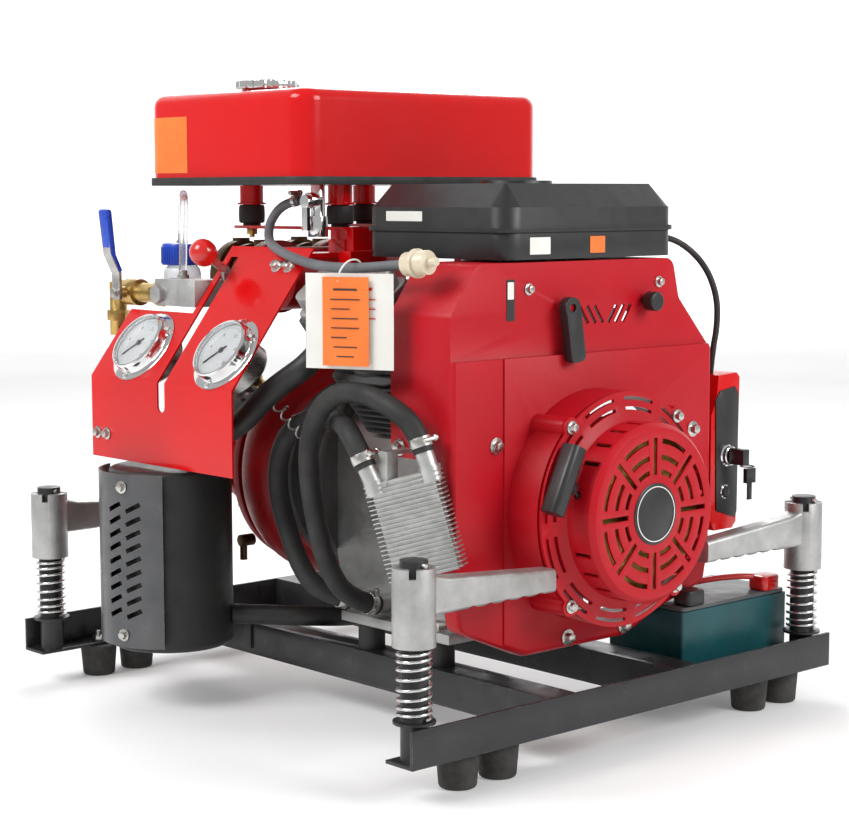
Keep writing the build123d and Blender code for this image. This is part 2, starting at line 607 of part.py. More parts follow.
with BuildPart() as fuel_tank:
    block(TANK_LOW, TANK_HIGH)
    fillet(fuel_tank.edges().filter_by(Axis.Z), 30)
    fillet(fuel_tank.edges().group_by(Axis.Z)[-1], 16)
    with BuildSketch(Plane.XY.offset(TANK_LOW[2])) as lip:
        with Locations(((TANK_LOW[0] + TANK_HIGH[0]) / 2, (TANK_LOW[1] + TANK_HIGH[1]) / 2)):
            RectangleRounded(TANK_HIGH[0] - TANK_LOW[0] + 8, TANK_HIGH[1] - TANK_LOW[1] + 8, 34)
    extrude(lip.sketch, amount=-9)
    rod((*FILLER, 785), (0, 0, 1), 34, 9)
    block((-320, -184, 684), (-8, 208, 776), Mode.SUBTRACT)
    rod((*FILLER, 765), (0, 0, 1), 30, 40, Mode.SUBTRACT)
save(fuel_tank, "fuel_tank")

with BuildPart() as tank_bracket:
    for side in (-1, 1):
        block((-246, 100 * side - 17, 612), (6, 100 * side + 17, 616))
        block((-40, 100 * side - 17, 586), (6, 100 * side + 17, 612))
        block((-8, 100 * side - 30, 540), (16, 100 * side + 30, 586))
    block((-30, -83, 606), (-24, 83, 616))
    block((-60, -178, 578), (-8, -117, 584))
    block((-40, -120, 584), (-8, -114, 600))
save(tank_bracket, "tank_bracket")

with BuildPart() as tank_cap:
    with BuildSketch(Plane.XY.offset(794.4)) as cap_face:
        with Locations(FILLER):
            Circle(42)
            with PolarLocations(46, 10):
                Circle(8, mode=Mode.SUBTRACT)
    extrude(cap_face.sketch, amount=10)
    rod((*FILLER, 804.4), (0, 0, 1), 28, 1.6)
    rod((*FILLER, 783), (0, 0, 1), 29.6, 11.4)
save(tank_cap, "tank_cap")

with BuildPart() as fuel_cock:
    rod((-24, -150, 670), (0, 0, -1), 9, 40)
    rod((-24, -150, 630), (0, 0, -1), 13, 26)
    rod((-24, -150, 650), (-1, 0, 0), 4.5, 36)
    rod((-24, -150, 650), (0, -1, 0), 10, 16)
    rod((-24, -140, 648), (0, -1, 0), 4.05, 30, Mode.SUBTRACT)
save(fuel_cock, "fuel_cock")

with BuildPart() as fuel_cock_lever:
    rod((-24, -160, 648), (0, -1, 0), 4, 7)
    with BuildSketch(Plane.XZ.offset(167)) as cock_arm:
        with Locations((-24, 648)):
            Circle(9)
        with Locations((-24, 630)):
            Rectangle(11, 36)
    extrude(cock_arm.sketch, amount=5)
save(fuel_cock_lever, "fuel_cock_lever")

FUEL_ROUTE = [(-60, -150, 650), (-90, -152, 647), (-110, -160, 624), (-94, -176, 600), (-44, -204, 590),
              (22, -222, 578), (84, -236, 572), (140, -240, 571), (188, -238, 573), (232, -234, 577)]
with BuildPart() as fuel_hose:
    hose(FUEL_ROUTE, 6)
save(fuel_hose, "fuel_hose")

filter_way = (Vector(*FUEL_ROUTE[-1]) - Vector(*FUEL_ROUTE[-2])).normalized()
with BuildPart() as fuel_filter:
    filter_start = Vector(*FUEL_ROUTE[-1])
    rod(tuple(filter_start), tuple(filter_way), 5, 8)
    rod(tuple(filter_start + filter_way * 8), tuple(filter_way), 14, 34)
    rod(tuple(filter_start + filter_way * 22), tuple(filter_way), 17, 5)
    rod(tuple(filter_start + filter_way * 42), tuple(filter_way), 5, 12)
save(fuel_filter, "fuel_filter")

# ---------------------------------------------------------------- gauge panel and priming gear
slope = Vector(0, PANEL_TOP[0] - PANEL_Y, PANEL_TOP[1] - PANEL_FOLD_Z).normalized()
slope_out = Vector(0, -slope.Z, slope.Y)


def gauge_plane(centre_x, height):
    """A plane on the slope at a gauge's centre, raised by height."""
    middle = Vector(centre_x, *GAUGE_YZ)
    return Plane(origin=middle + slope_out * height, x_dir=(1, 0, 0), z_dir=slope_out)


with BuildPart() as gauge_panel:
    with BuildSketch(Plane.YZ.offset(PANEL_X[0])) as bend:
        with BuildLine():
            inner_top = Vector(0, *PANEL_TOP) - slope_out * PANEL_T
            Polyline((PANEL_Y, PANEL_LOW_Z), (PANEL_Y, PANEL_FOLD_Z), PANEL_TOP, (inner_top.Y, inner_top.Z),
                     (PANEL_Y + PANEL_T, PANEL_FOLD_Z - 1), (PANEL_Y + PANEL_T, PANEL_LOW_Z), close=True)
        make_face()
    extrude(bend.sketch, amount=PANEL_X[1] - PANEL_X[0])
    block((PANEL_X[0] - 1, -260, 505), (SLOT_X - 19, -170, 600), Mode.SUBTRACT)
    block((SLOT_X - 8, -320, 390), (SLOT_X + 8, -180, 577), Mode.SUBTRACT)
    rod((SLOT_X, -320, 390), (0, 1, 0), 8, 20, Mode.SUBTRACT)
    for gauge_x in GAUGE_XS:
        with BuildSketch(gauge_plane(gauge_x, -10)) as opening:
            Circle(38)
        extrude(opening.sketch, amount=20, mode=Mode.SUBTRACT)
    for bolt_x in (-46, -22):
        behind = Vector(bolt_x, *PANEL_TOP) - slope * 30 - slope_out * 6
        with BuildSketch(Plane(origin=behind, z_dir=slope_out)) as hole:
            Circle(4)
        extrude(hole.sketch, amount=10, mode=Mode.SUBTRACT)
save(gauge_panel, "gauge_panel")

with BuildPart() as gauges:
    for gauge_x in GAUGE_XS:
        for height, radius, depth in ((0.1, 52, 1.8), (1.9, 42.5, 15), (-38, 36.5, 38.1), (-62, 9, 24)):
            with BuildSketch(gauge_plane(gauge_x, height)) as step:
                Circle(radius)
            extrude(step.sketch, amount=depth)
        with BuildSketch(gauge_plane(gauge_x, 8)) as dial_well:
            Circle(38)
        extrude(dial_well.sketch, amount=20, mode=Mode.SUBTRACT)
        with BuildSketch(gauge_plane(gauge_x, 14)) as lens:
            Circle(37.95)
        extrude(lens.sketch, amount=1.8)
save(gauges, "gauges")


def gauge_needle(gauge_x, angle):
    """A needle on its hub, between the dial and the lens."""
    with BuildPart() as needle:
        with BuildSketch(gauge_plane(gauge_x, 9)) as shape:
            Circle(4)
            with Locations(Location((0, 0, 0), (0, 0, angle))):
                with Locations((10, 0)):
                    Rectangle(38, 1.6)
        extrude(shape.sketch, amount=1.2)
        with BuildSketch(gauge_plane(gauge_x, 8.3)) as spindle:
            Circle(2)
        extrude(spindle.sketch, amount=2.6)
    return needle


save(gauge_needle(GAUGE_XS[0], 225), "needle_left")
save(gauge_needle(GAUGE_XS[1], 225), "needle_right")

with BuildPart() as primer_pump:
    block((-257, -240, 512), (-167, -190, 547))
    hexagon((-246, -240, 527), (0, -1, 0), 22, 8)
    rod((-186, -192, 418), (0, 0, 1), 9, 95)
    block((-215, -205, 370), (-150, -150, 420))
    rod((-150, *LEVER_PIVOT), (1, 0, 0), 5, 16)
    block((-333, -190, 512), (-230, -142, 515))
    rod((-232, -212, 547), (0, 0, 1), 6, 6)
save(primer_pump, "primer_pump")

with BuildPart() as priming_lever:
    with BuildSketch(Plane.YZ.offset(SLOT_X - 3)) as lever_side:
        knee = (-206, 560)
        knob = (-240, 583)
        with Locations(LEVER_PIVOT):
            Circle(13)
        with Locations(((LEVER_PIVOT[0] + knee[0]) / 2, (LEVER_PIVOT[1] + knee[1]) / 2)):
            SlotCenterToCenter(167, 12, rotation=100.6)
        with Locations(((knee[0] + knob[0]) / 2, (knee[1] + knob[1]) / 2)):
            SlotCenterToCenter(41, 10, rotation=146)
        with Locations(LEVER_PIVOT):
            Circle(5 + RUN_GAP, mode=Mode.SUBTRACT)
    extrude(lever_side.sketch, amount=6)
    with Locations((SLOT_X, *knob)):
        Sphere(15.5)
save(priming_lever, "priming_lever")

with BuildPart() as ball_valve:
    rod((-257.2, *VALVE_AXIS), (-1, 0, 0), 13, 98)
    hexagon((-262, *VALVE_AXIS), (-1, 0, 0), 30, 16)
    rod((VALVE_STEM_X, VALVE_AXIS[0], VALVE_AXIS[1]), (0, -1, 0), 8, 26)
    rod((VALVE_STEM_X + 14, *VALVE_AXIS), (-1, 0, 0), 18, 28)
    hexagon((-352, *VALVE_AXIS), (-1, 0, 0), 27, 12)
    rod((-372, VALVE_AXIS[0], VALVE_AXIS[1] + 13), (0, 0, -1), 12, 73)
    rod((-357, *VALVE_AXIS), (-1, 0, 0), 10, 16)
    hexagon((-372, VALVE_AXIS[0], VALVE_AXIS[1] - 40), (0, 0, 1), 27, 14)
    rod((-372, VALVE_AXIS[0], VALVE_AXIS[1] - 61), (0, 0, 1), 8, 50, Mode.SUBTRACT)
    rod((VALVE_STEM_X, -230, VALVE_AXIS[1]), (0, -1, 0), 4.08, 30, Mode.SUBTRACT)
save(ball_valve, "ball_valve")

with BuildPart() as ball_valve_lever:
    rod((VALVE_STEM_X, -231, VALVE_AXIS[1]), (0, -1, 0), 4, 26)
    with BuildSketch(Plane.YZ.offset(VALVE_STEM_X - 9)) as crank:
        with BuildLine():
            Polyline((-249, 517), (-253, 517), (-253, 552), (-266, 578), (-271, 636), (-265, 636),
                     (-260, 577), (-249, 554), close=True)
        make_face()
    extrude(crank.sketch, amount=18)
    hexagon((VALVE_STEM_X, -253, VALVE_AXIS[1]), (0, -1, 0), 12, 6)
save(ball_valve_lever, "ball_valve_lever")

with BuildPart() as oil_bottle:
    rod((-300, -165, 515.3), (0, 0, 1), 25, 47)
    rod((-300, -165, 562.3), (0, 0, 1), 28, 30)
    rod((-300, -165, 592.3), (0, 0, 1), 5, 12)
save(oil_bottle, "oil_bottle")

CLEAR_ROUTE = [(-232, -212, 553), (-231, -212, 590), (-236, -206, 630), (-250, -196, 655),
               (-272, -182, 660), (-292, -170, 641), (-300, -165, 604.3)]
with BuildPart() as clear_tube:
    hose(CLEAR_ROUTE, 5.5)
save(clear_tube, "clear_tube")

# ---------------------------------------------------------------- oil cooler and its hoses
cooler_turn = radians(30)
cooler_roll = radians(16)
cooler_out = Vector(sin(cooler_turn), -cos(cooler_turn), 0)
cooler_wide = Vector(cos(cooler_turn), sin(cooler_turn), 0) * cos(cooler_roll) + Vector(0, 0, sin(cooler_roll))
cooler_up = cooler_out.cross(cooler_wide)
COOLER_CORNER = Vector(229, -292, 325)
COOLER_SIZE = (92.0, 118.0, 20.0)
COOLER_PORTS = {10: Vector(-0.45, -0.15, 0.88).normalized(), 80: Vector(-0.35, -0.1, 0.93).normalized()}
with BuildPart() as oil_cooler:
    for row in range(22):
        fin_corner = COOLER_CORNER - cooler_up * (5.3 * row + 3)
        with BuildSketch(Plane(origin=fin_corner, x_dir=cooler_wide, z_dir=cooler_up)) as fin_plan:
            with Locations((COOLER_SIZE[0] / 2, COOLER_SIZE[2] / 2)):
                Rectangle(COOLER_SIZE[0], COOLER_SIZE[2])
        extrude(fin_plan.sketch, amount=1.4)
    middle = COOLER_CORNER + cooler_wide * 46 - cooler_out * 10
    with BuildSketch(Plane(origin=middle - cooler_up * 117, x_dir=cooler_wide, z_dir=cooler_up)) as core:
        Rectangle(78, 12)
    extrude(core.sketch, amount=117)
    for port, port_way in COOLER_PORTS.items():
        neck = COOLER_CORNER + cooler_wide * port - cooler_out * 10
        rod(tuple(neck - cooler_up * 14), tuple(cooler_up), 12, 18)
        rod(tuple(neck), tuple(port_way), 11, 20)
    block((238, -275, 326), (252, -259, 366))
    block((238, -262, 362), (252, -224.3, 366))
save(oil_cooler, "oil_cooler")


def cooler_port(position, beyond=20):
    """A point on a cooler port's axis, at its end or beyond."""
    neck = COOLER_CORNER + cooler_wide * position - cooler_out * 10
    return tuple(neck + COOLER_PORTS[position] * beyond)


FRONT_ROUTE = [cooler_port(80), cooler_port(80, 48), (250, -258, 412), (210, -264, 427), (164, -263, 429),
               (120, -258, 414), (82, -251, 374), (68, -243, 318), (74, -236, 258), (82, -226, 204),
               (86, -196, 160), (84, -148, 146)]
REAR_ROUTE = [cooler_port(10), cooler_port(10, 50), (184, -278, 388), (140, -245, 383), (92, -214, 385),
              (38, -205, 385), (-14, -204, 366), (-45, -202, 326), (-46, -201, 276), (-26, -200, 228),
              (-2, -198, 184), (20, -184, 156), (34, -148, 146)]
with BuildPart() as oil_hose_front:
    hose(FRONT_ROUTE, 12.5)
save(oil_hose_front, "oil_hose_front")

with BuildPart() as oil_hose_rear:
    hose(REAR_ROUTE, 12.5)
save(oil_hose_rear, "oil_hose_rear")

# ---------------------------------------------------------------- controls, battery and tags
with BuildPart() as control_box:
    with BuildSketch(Plane.YZ.offset(238)) as box_face:
        with BuildLine():
            Polyline((250, 424), (286, 426), (292, 420), (288, 230), (280, 222), (244, 222), (236, 236),
                     (236, 372), (246, 392), close=True)
        make_face()
    extrude(box_face.sketch, amount=62)
    rod((300, 266, 319), (1, 0, 0), 12, 9)
    rod((296, 266, 319), (1, 0, 0), 3.1, 20, Mode.SUBTRACT)
    rod((288, 262, 272), (1, 0, 0), 6.1, 22, Mode.SUBTRACT)
save(control_box, "control_box")

with BuildPart() as ignition_key:
    rod((300, 266, 319), (1, 0, 0), 3, 12)
    block((311, 260, 309), (334, 272, 329))
    with Locations(Location((326, 278, 306), (0, 0, 20))):
        Torus(9, 0.8)
    block((323, 274, 284), (329, 292, 303))
    block((325, 279, 262), (327, 287, 284))
save(ignition_key, "ignition_key")

with BuildPart() as protector_button:
    rod((292, 262, 272), (1, 0, 0), 6, 14)
save(protector_button, "protector_button")

with BuildPart() as battery:
    block((214, 138, 48), (340, 346, 134))
    block((218, 142, 134), (336, 342, 139))
    fillet(battery.edges().filter_by(Axis.Z), 4)
    for terminal_y in (166, 316):
        block((316, terminal_y - 12, 139), (336, terminal_y + 12, 145))
        rod((326, terminal_y, 145), (0, 0, 1), 9, 14)
save(battery, "battery")

with BuildPart() as hang_tags:
    for behind, width, height, top in ((0, 60, 103, 563), (5, 112, 111, 567)):
        centre = Vector(182, -276 + behind, top - height / 2)
        with Locations(Location(tuple(centre), (0, 0, 25))):
            Box(width, 1, height)
    with Locations(Plane(origin=(172, -281, 556.5), z_dir=(-14, 31, 28))):
        Box(4, 1.2, 44, align=BASE)
save(hang_tags, "hang_tags")

CABLE_ROUTE = [(258, 163, 604), (262, 184, 604), (276, 210, 592), (294, 230, 564), (304, 240, 526),
               (302, 243, 488), (291, 247, 454), (278, 259, 423.5)]
with BuildPart() as harness_cable:
    hose(CABLE_ROUTE, 4)
save(harness_cable, "harness_cable")

# ---------------------------------------------------------------- fasteners
with BuildPart() as bolts:
    for side in (-1, 1):
        for foot_y in (-270, -208, 240, 302):
            rod((side * 364, foot_y, 14), (0, 0, 1), 4, 46)
            hexagon((side * 364, foot_y, FOOT_HEIGHT + BAR_T), (0, 0, 1), 13, 7)
        for side_y in (-1, 1):
            rod((side * POST_X - 20, side_y * POST_Y, 261.3), (1, 0, 0), 2.5, 40)
    for mount_x in (56, 186):
        for mount_y in (-132, 88):
            hexagon((mount_x, mount_y, 73), (0, 0, 1), 16, 8)
            rod((mount_x, mount_y, 70), (0, 0, 1), 5, 60)
        hexagon((mount_x, -132, 130), (0, 0, 1), 16, 9)
    for side_y in (-1, 1):
        for side_z in (-1, 1):
            washer_bolt((RECOIL_BACK + 4, side_y * 92, CRANK_Z + side_z * 105), (1, 0, 0), 9, 6, 8)
    for bolt_x, bolt_y, bolt_z in ((-2, -158, 368), (0, 186, 361), (0, -40, 126), (0, 60, 126)):
        washer_bolt((SHROUD_X + bolt_x, bolt_y, bolt_z), (1, 0, 0), 10, 7, 10)
    washer_bolt((216, -224, 364), (0, -1, 0), 12, 7, 10)
    for bolt_y, bolt_z in ((-100, 547), (128, 549)):
        washer_bolt((SHROUD_X - 8, bolt_y, bolt_z), (1, 0, 0), 8, 5, 7)
    for bolt_x in (-292, -270):
        washer_bolt((bolt_x, PANEL_Y, 345), (0, -1, 0), 9, 5, 8)
    for bolt_x in (-46, -22):
        washer_bolt(Vector(bolt_x, *PANEL_TOP) - slope * 30, tuple(slope_out), 11, 7, 9)
    for level in (100, 290):
        spot = radians(284)
        washer_bolt((MUFFLER[0] + 92 * cos(spot), MUFFLER[1] + 92 * sin(spot), level),
                    (cos(spot), sin(spot), 0), 9, 5, 8)
    for ear in range(4):
        angle = radians(45 + 90 * ear)
        washer_bolt((-34, 138 * cos(angle), CRANK_Z + 138 * sin(angle)), (-1, 0, 0), 12, 8, 10)
    for stud in range(8):
        angle = radians(22.5 + 45 * stud)
        washer_bolt((-227, 128 * cos(angle), CRANK_Z + 128 * sin(angle)), (-1, 0, 0), 11, 7, 9)
save(bolts, "bolts")
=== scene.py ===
from math import cos, pi, radians, sin

import bpy
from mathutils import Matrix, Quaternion, Vector


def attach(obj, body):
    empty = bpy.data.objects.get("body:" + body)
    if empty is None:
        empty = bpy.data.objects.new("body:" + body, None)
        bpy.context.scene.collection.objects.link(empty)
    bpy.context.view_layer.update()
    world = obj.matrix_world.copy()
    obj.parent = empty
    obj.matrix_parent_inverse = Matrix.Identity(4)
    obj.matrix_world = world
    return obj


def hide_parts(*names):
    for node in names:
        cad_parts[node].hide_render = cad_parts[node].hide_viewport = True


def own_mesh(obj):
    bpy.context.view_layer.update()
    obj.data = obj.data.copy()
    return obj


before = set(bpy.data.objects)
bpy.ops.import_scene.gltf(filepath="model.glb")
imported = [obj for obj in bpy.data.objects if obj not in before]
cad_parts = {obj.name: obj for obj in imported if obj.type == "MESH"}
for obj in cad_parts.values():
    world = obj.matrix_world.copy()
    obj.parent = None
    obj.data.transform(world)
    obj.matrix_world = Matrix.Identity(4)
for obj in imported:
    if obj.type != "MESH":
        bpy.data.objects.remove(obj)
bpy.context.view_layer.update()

MM = 0.001
X_WAY = Vector((1, 0, 0))
Y_WAY = Vector((0, 1, 0))
Z_WAY = Vector((0, 0, 1))
SHARP_ANGLE = radians(32)
CORNERS = {"front_right": (1, -1), "rear_right": (1, 1), "front_left": (-1, -1),
           "rear_left": (-1, 1)}

# ---------------------------------------------------------------- camera
AZIMUTH = radians(48.009)
ELEVATION = radians(6.123)
ROLL = radians(-0.133)
CAMERA_PLACE = (1.9729, -1.7667, 0.6589)
FOCAL_LENGTH = 85.57
FILM_WIDTH = 36


def add_camera():
    """The camera stands where the photographer stood."""
    back = Vector((sin(AZIMUTH) * cos(ELEVATION), -cos(AZIMUTH) * cos(ELEVATION), sin(ELEVATION)))
    data = bpy.data.cameras.new("camera")
    data.lens = FOCAL_LENGTH
    data.sensor_width = FILM_WIDTH
    camera = bpy.data.objects.new("camera", data)
    camera.location = CAMERA_PLACE
    camera.rotation_mode = "QUATERNION"
    camera.rotation_quaternion = (-back).to_track_quat("-Z", "Y") @ Quaternion(Z_WAY, ROLL)
    bpy.context.scene.collection.objects.link(camera)
    bpy.context.scene.camera = camera


add_camera()


# ---------------------------------------------------------------- materials
NOISE_LOW = 0.32  # the noise texture seldom leaves this range
NOISE_HIGH = 0.68
FLAT_COSINE = 0.995  # between the true and the rounded normal, where wear begins
EDGE_COSINE = 0.93  # and where it is full
WEAR_RADIUS = 0.0012
WEAR_GRAIN = 90


def start_material(name):
    """A new material, its nodes, its links and its main shader."""
    material = bpy.data.materials.new(name)
    material.use_nodes = True
    nodes = material.node_tree.nodes
    return material, nodes, material.node_tree.links, nodes["Principled BSDF"]


def noise(nodes, links, coordinates, scale, low, high, detail=5.0):
    """A noise texture stretched to run from low to high."""
    texture = nodes.new("ShaderNodeTexNoise")
    texture.inputs["Scale"].default_value = scale
    texture.inputs["Detail"].default_value = detail
    links.new(coordinates, texture.inputs["Vector"])
    spread = nodes.new("ShaderNodeMapRange")
    spread.inputs["From Min"].default_value = NOISE_LOW
    spread.inputs["From Max"].default_value = NOISE_HIGH
    spread.inputs["To Min"].default_value = low
    spread.inputs["To Max"].default_value = high
    links.new(texture.outputs["Fac"], spread.inputs["Value"])
    return spread.outputs["Result"]


def mix(nodes, links, factor, first, second):
    """A colour between two colours or colour sockets."""
    blend = nodes.new("ShaderNodeMix")
    blend.data_type = "RGBA"
    links.new(factor, blend.inputs["Factor"])
    for socket, colour in ((blend.inputs["A"], first), (blend.inputs["B"], second)):
        if isinstance(colour, bpy.types.NodeSocket):
            links.new(colour, socket)
        else:
            socket.default_value = (*colour, 1)
    return blend.outputs["Result"]


def edge_wear(nodes, links, coordinates, amount):
    """A mask that is high on sharp edges and 0 on flats, broken up by noise."""
    rounded = nodes.new("ShaderNodeBevel")
    rounded.samples = 3
    rounded.inputs["Radius"].default_value = WEAR_RADIUS
    geometry = nodes.new("ShaderNodeNewGeometry")
    dot = nodes.new("ShaderNodeVectorMath")
    dot.operation = "DOT_PRODUCT"
    links.new(rounded.outputs["Normal"], dot.inputs[0])
    links.new(geometry.outputs["Normal"], dot.inputs[1])
    edge = nodes.new("ShaderNodeMapRange")
    edge.inputs["From Min"].default_value = FLAT_COSINE
    edge.inputs["From Max"].default_value = EDGE_COSINE
    links.new(dot.outputs["Value"], edge.inputs["Value"])
    broken = noise(nodes, links, coordinates, WEAR_GRAIN, -0.6, amount)
    product = nodes.new("ShaderNodeMath")
    product.operation = "MULTIPLY"
    product.use_clamp = True
    links.new(edge.outputs["Result"], product.inputs[0])
    links.new(broken, product.inputs[1])
    return product.outputs["Value"]


def finish_of(name, colour, shade=None, metal=0.0, rough=(0.3, 0.4), patch=18, grain=600, bump=0.06,
              grain_size=0.0004, coat=0.0, gloss=0.5, wear=None, stretch=(1, 1, 1)):
    """A painted, moulded or metal surface with mottled colour, uneven gloss, grain and worn edges.

    Patch and grain are noise scales, grain_size is the relief in metres, wear is (colour, amount).
    """
    material, nodes, links, shader = start_material(name)
    place = nodes.new("ShaderNodeTexCoord")
    mapping = nodes.new("ShaderNodeMapping")
    mapping.inputs["Scale"].default_value = stretch
    links.new(place.outputs["Object"], mapping.inputs["Vector"])
    where = mapping.outputs["Vector"]
    second = shade or tuple(0.8 * channel for channel in colour)
    base = mix(nodes, links, noise(nodes, links, where, patch, 0, 1), colour, second)
    if wear:
        worn_colour, amount = wear
        worn = edge_wear(nodes, links, place.outputs["Object"], amount)
        base = mix(nodes, links, worn, base, worn_colour)
    links.new(base, shader.inputs["Base Color"])
    links.new(noise(nodes, links, where, patch * 2.7, *rough), shader.inputs["Roughness"])
    relief = nodes.new("ShaderNodeBump")
    relief.inputs["Strength"].default_value = bump
    relief.inputs["Distance"].default_value = grain_size
    links.new(noise(nodes, links, where, grain, 0, 1, 3.0), relief.inputs["Height"])
    links.new(relief.outputs["Normal"], shader.inputs["Normal"])
    shader.inputs["Metallic"].default_value = metal
    shader.inputs["Specular IOR Level"].default_value = gloss
    shader.inputs["Coat Weight"].default_value = coat
    shader.inputs["Coat Roughness"].default_value = 0.06
    return material


def clear_material(name, colour, roughness, transmission):
    """A see-through plastic or glass with faint smears."""
    material, nodes, links, shader = start_material(name)
    place = nodes.new("ShaderNodeTexCoord")
    smears = noise(nodes, links, place.outputs["Object"], 60, roughness, roughness + 0.12)
    links.new(smears, shader.inputs["Roughness"])
    shader.inputs["Base Color"].default_value = (*colour, 1)
    shader.inputs["Transmission Weight"].default_value = transmission
    shader.inputs["IOR"].default_value = 1.4
    return material


BARE_STEEL = (0.32, 0.3, 0.28)
BARE_BRONZE = (0.45, 0.3, 0.12)
DULL_RED = (0.25, 0.02, 0.02)
MATERIALS = {
    "black_paint": finish_of("black_paint", (0.012, 0.012, 0.014), (0.02, 0.02, 0.022),
                             rough=(0.26, 0.42), grain=420, bump=0.1, wear=(BARE_STEEL, 0.5)),
    "muffler_black": finish_of("muffler_black", (0.01, 0.01, 0.01), (0.018, 0.017, 0.016),
                               rough=(0.42, 0.6), grain=700, bump=0.15),
    "guard_steel": finish_of("guard_steel", (0.085, 0.088, 0.092), (0.12, 0.12, 0.124), metal=0.6,
                             rough=(0.26, 0.4), grain=300, bump=0.12, wear=(BARE_STEEL, 0.9)),
    "rubber": finish_of("rubber", (0.012, 0.012, 0.012), (0.022, 0.021, 0.02), rough=(0.55, 0.75),
                        grain=500, bump=0.2),
    "foot_rubber": finish_of("foot_rubber", (0.022, 0.021, 0.02), (0.05, 0.047, 0.043),
                             rough=(0.7, 0.9), patch=45, grain=420, bump=0.35),
    "cast_aluminium": finish_of("cast_aluminium", (0.5, 0.5, 0.49), (0.38, 0.38, 0.37), metal=0.85,
                                rough=(0.36, 0.52), patch=35, grain=520, bump=0.3,
                                grain_size=0.0006),
    "fin_aluminium": finish_of("fin_aluminium", (0.56, 0.57, 0.56), (0.44, 0.44, 0.42), metal=0.8,
                               rough=(0.32, 0.5), patch=60, grain=900, bump=0.12),
    "spring_steel": finish_of("spring_steel", (0.75, 0.75, 0.74), (0.6, 0.6, 0.58), metal=1,
                              rough=(0.16, 0.28), patch=120, grain=1200, bump=0.05),
    "machined_steel": finish_of("machined_steel", (0.55, 0.54, 0.52), (0.42, 0.41, 0.4), metal=1,
                                rough=(0.22, 0.38), grain=500, bump=0.12, stretch=(1, 1, 6)),
    "grey_casting": finish_of("grey_casting", (0.07, 0.07, 0.068), (0.045, 0.045, 0.045), metal=0.2,
                              rough=(0.45, 0.6), grain=420, bump=0.4, grain_size=0.0007),
    "red_paint": finish_of("red_paint", (0.62, 0.002, 0.003), (0.55, 0.002, 0.003),
                           rough=(0.16, 0.24), patch=6, grain=160, bump=0.03, coat=0.3, gloss=0.25,
                           wear=(DULL_RED, 0.25)),
    "red_satin": finish_of("red_satin", (0.46, 0.004, 0.012), (0.41, 0.004, 0.01),
                           rough=(0.34, 0.44), patch=8, grain=520, bump=0.12, gloss=0.25),
    "red_casting": finish_of("red_casting", (0.36, 0.004, 0.006), (0.26, 0.003, 0.005),
                             rough=(0.3, 0.42), patch=20, grain=380, bump=0.35, grain_size=0.0008,
                             gloss=0.3),
    "bronze": finish_of("bronze", (0.12, 0.066, 0.026), (0.055, 0.03, 0.014), metal=0.9,
                        rough=(0.34, 0.5), patch=30, grain=400, bump=0.25, wear=(BARE_BRONZE, 0.5)),
    "brass": finish_of("brass", (0.62, 0.42, 0.14), (0.42, 0.27, 0.08), metal=1, rough=(0.26, 0.42),
                       patch=50, grain=500, bump=0.15),
    "black_plastic": finish_of("black_plastic", (0.012, 0.012, 0.013), (0.018, 0.018, 0.019),
                               rough=(0.3, 0.44), grain=900, bump=0.22, grain_size=0.0003),
    "chrome": finish_of("chrome", (0.82, 0.82, 0.82), (0.74, 0.74, 0.74), metal=1,
                        rough=(0.06, 0.12), grain=80, bump=0.015),
    "grey_rubber": finish_of("fuel_hose_braid", (0.14, 0.15, 0.16), (0.09, 0.1, 0.11),
                             rough=(0.5, 0.7), grain=350, bump=0.35, grain_size=0.0005),
    "cream_plastic": finish_of("cream_plastic", (0.68, 0.6, 0.45), (0.6, 0.52, 0.38),
                               rough=(0.3, 0.42), grain=600, bump=0.06),
    "blue_plastic": finish_of("blue_plastic", (0.008, 0.06, 0.5), (0.006, 0.045, 0.4),
                              rough=(0.25, 0.36), grain=500, bump=0.08),
    "red_plastic": finish_of("red_plastic", (0.62, 0.012, 0.01), (0.52, 0.01, 0.008),
                             rough=(0.14, 0.24), grain=300, bump=0.03, coat=0.4),
    "clear_plastic": clear_material("clear_plastic", (0.93, 0.95, 0.96), 0.16, 0.85),
    "bottle_plastic": clear_material("bottle_plastic", (0.9, 0.93, 0.95), 0.3, 0.6),
    "glass": clear_material("gauge_glass", (0.98, 0.99, 1.0), 0.02, 1.0),
    "dial": finish_of("dial", (0.82, 0.83, 0.83), (0.76, 0.77, 0.77), rough=(0.35, 0.5), grain=400,
                      bump=0.02),
    "ink": finish_of("ink", (0.02, 0.02, 0.022), rough=(0.4, 0.5), grain=300, bump=0.02),
    "teal_plastic": finish_of("teal_plastic", (0.008, 0.085, 0.095), (0.006, 0.06, 0.07),
                              rough=(0.34, 0.48), grain=700, bump=0.12),
    "grey_plastic": finish_of("grey_plastic", (0.09, 0.095, 0.1), (0.06, 0.065, 0.07),
                              rough=(0.3, 0.45), grain=700, bump=0.12),
    "white_card": finish_of("white_card", (0.8, 0.79, 0.75), (0.72, 0.71, 0.66), rough=(0.5, 0.65),
                            grain=300, bump=0.05),
    "orange_card": finish_of("orange_card", (0.85, 0.2, 0.03), (0.78, 0.16, 0.02),
                             rough=(0.4, 0.55), grain=300, bump=0.05),
    "zinc_steel": finish_of("zinc_steel", (0.6, 0.6, 0.57), (0.46, 0.45, 0.42), metal=1,
                            rough=(0.22, 0.38), patch=90, grain=700, bump=0.12),
    "reel_brass": finish_of("reel_brass", (0.5, 0.33, 0.08), (0.36, 0.22, 0.05), metal=0.8,
                            rough=(0.34, 0.5), patch=40, grain=300, bump=0.1),
}


# ---------------------------------------------------------------- helpers for CAD nodes
WELD_REACH = 0.00002


